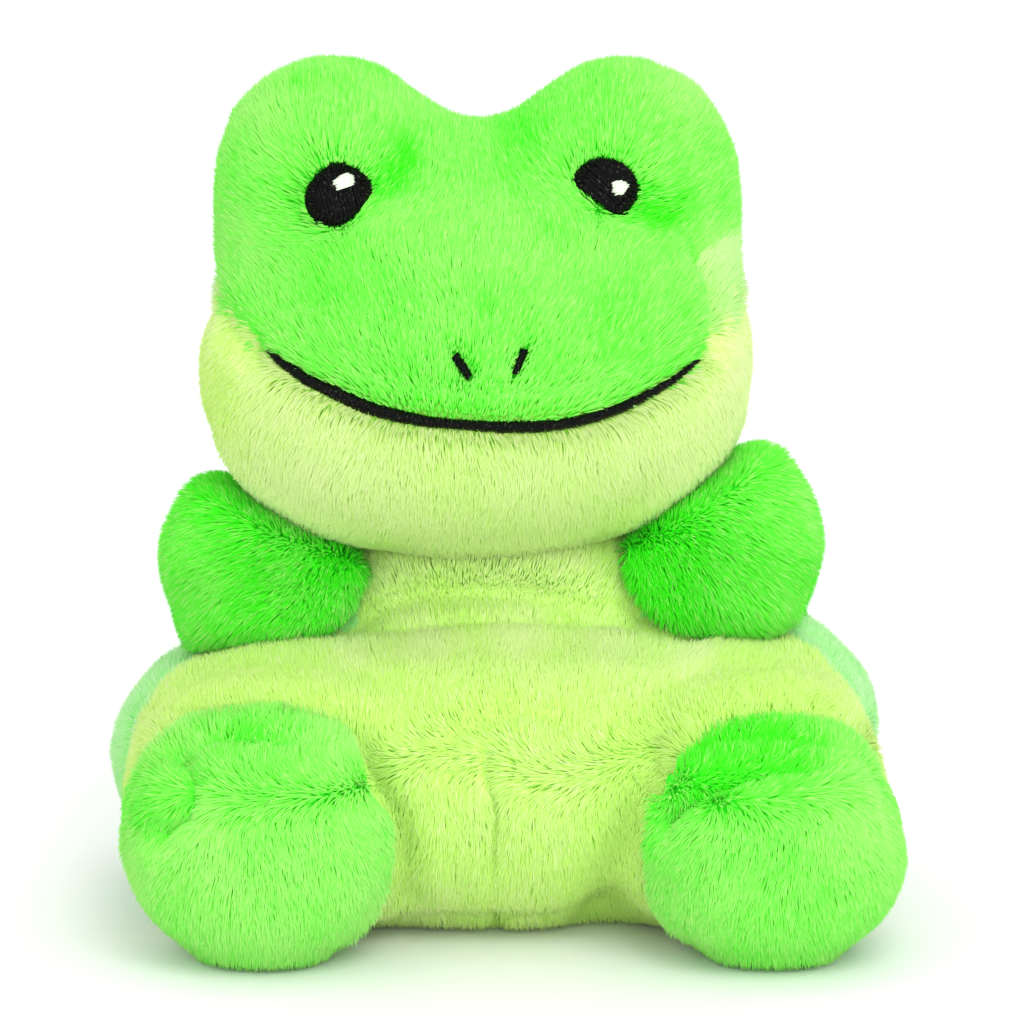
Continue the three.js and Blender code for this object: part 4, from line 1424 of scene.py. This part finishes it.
def embroider_line(name, line, slant, seed, node):
    """A satin bar: a core along the line, with slanting stitches across it."""
    random = seeded(seed)
    places, widths, _ = along_line(line, CORE_SPACING)
    core_line = raised(places, np.full(len(places), CORE_LIFT))
    core = tubes(name + "_core", [core_line], [np.maximum(widths * PIXEL * CORE_RADIUS, THINNEST_CORE)])
    places, widths, forward = along_line(line, SATIN_SPACING)
    across = np.column_stack([-forward[:, 1], forward[:, 0]])
    lines = []
    for place, width, ahead, aside in zip(places, widths, forward, across):
        reach = aside * width / 2 * random.uniform(0.93, 1.07)
        reach = reach + ahead * width / 2 * math.tan(math.radians(slant))
        middle = place + random.normal(0, 0.25, 2)
        pixels = middle + reach * np.linspace(-1, 1, 5)[:, None]
        lines.append(raised(pixels, (SATIN_ARCH + random.normal(0, 0.04)) * MM))
    stitches = threads(name + "_stitches", lines, [0.7, 1, 1, 1, 0.7])
    finish_piece(joined([core, stitches], name), "head", black_thread, node)


embroider_line("right_nostril_stitching", RIGHT_NOSTRIL, 15, 51, "right_nostril")
embroider_line("left_nostril_stitching", LEFT_NOSTRIL, 15, 52, "left_nostril")
embroider_line("mouth_stitching", MOUTH, 35, 53, "mouth_stitch")

# %% [markdown]
# ## The closing stitch
#
# After stuffing, the opening in the back is sewn shut by hand with a zigzag of stronger thread.

# %% Sew the opening shut
SLIT_LENGTH, SLIT_HEIGHT, SLIT_STITCHES = 26 * MM, 27 * MM, 8
STITCH_WIDTH, STITCH_LIFT, STITCH_BOW, SEWING_THREAD = 1.9 * MM, 2.4 * MM, 0.5 * MM, 0.38 * MM
corners = []
for step in range(SLIT_STITCHES + 1):
    across = TORSO.translation[0] + (1 if step % 2 else -1) * STITCH_WIDTH / 2
    height = SLIT_HEIGHT + SLIT_LENGTH * (0.5 - step / SLIT_STITCHES)
    place = trees["torso"].ray_cast(Vector((across, 0.2, height)), Vector((0, -1, 0)))[0]
    corners.append(np.array(place) + np.array([0, STITCH_LIFT, 0]))
corners = np.array(corners)
bow = np.array([-0.9, 0.1, 0.45, 0.45, 0.1, -0.9])[:, None] * np.array([0, STITCH_BOW, 0])
steps = np.linspace(-0.04, 1.04, 6)[:, None]
stitch_lines = [a + (b - a) * steps + bow for a, b in zip(corners[:-1], corners[1:])]
stitch = tubes("closing_zigzag", stitch_lines, np.full((SLIT_STITCHES, 6), SEWING_THREAD))
finish_piece(stitch, "torso", green_thread, "closing_stitch")
for obj in forms.values():
    bpy.data.objects.remove(obj)

# %% [markdown]
# ## Floor and light
#
# White paper and two broad soft lamps, one high and one low in front, as for a catalogue picture.

# %% Floor, lamps and world
scene = bpy.context.scene
scene.view_settings.view_transform = "Standard"
bpy.ops.mesh.primitive_plane_add(size=6, location=(0, 0, 0))
floor = bpy.context.active_object
floor.name = "floor"
paper, shader = new_material("white_paper")
set_inputs(shader, {"Base Color": linear("#FFFFFF"), "Roughness": 0.9})
floor.data.materials.append(paper)

world = bpy.data.worlds.new("studio")
world.use_nodes = True
scene.world = world
set_inputs(world.node_tree.nodes["Background"], {"Color": (1, 1, 1, 1), "Strength": 1.0})
LIT = Vector((0, 0, 0.06))


def lamp(name, place, size, power):
    data = bpy.data.lights.new(name, "AREA")
    data.shape, data.size, data.energy = "DISK", size, power
    obj = bpy.data.objects.new(name, data)
    obj.location = place
    obj.rotation_euler = (LIT - Vector(place)).to_track_quat("-Z", "Y").to_euler()
    scene.collection.objects.link(obj)
    print("lamp", name, power, "W")


lamp("key", (0.25, -0.7, 0.9), 0.6, 3.2)
lamp("fill", (0.1, -1.0, 0.15), 0.8, 2.4)
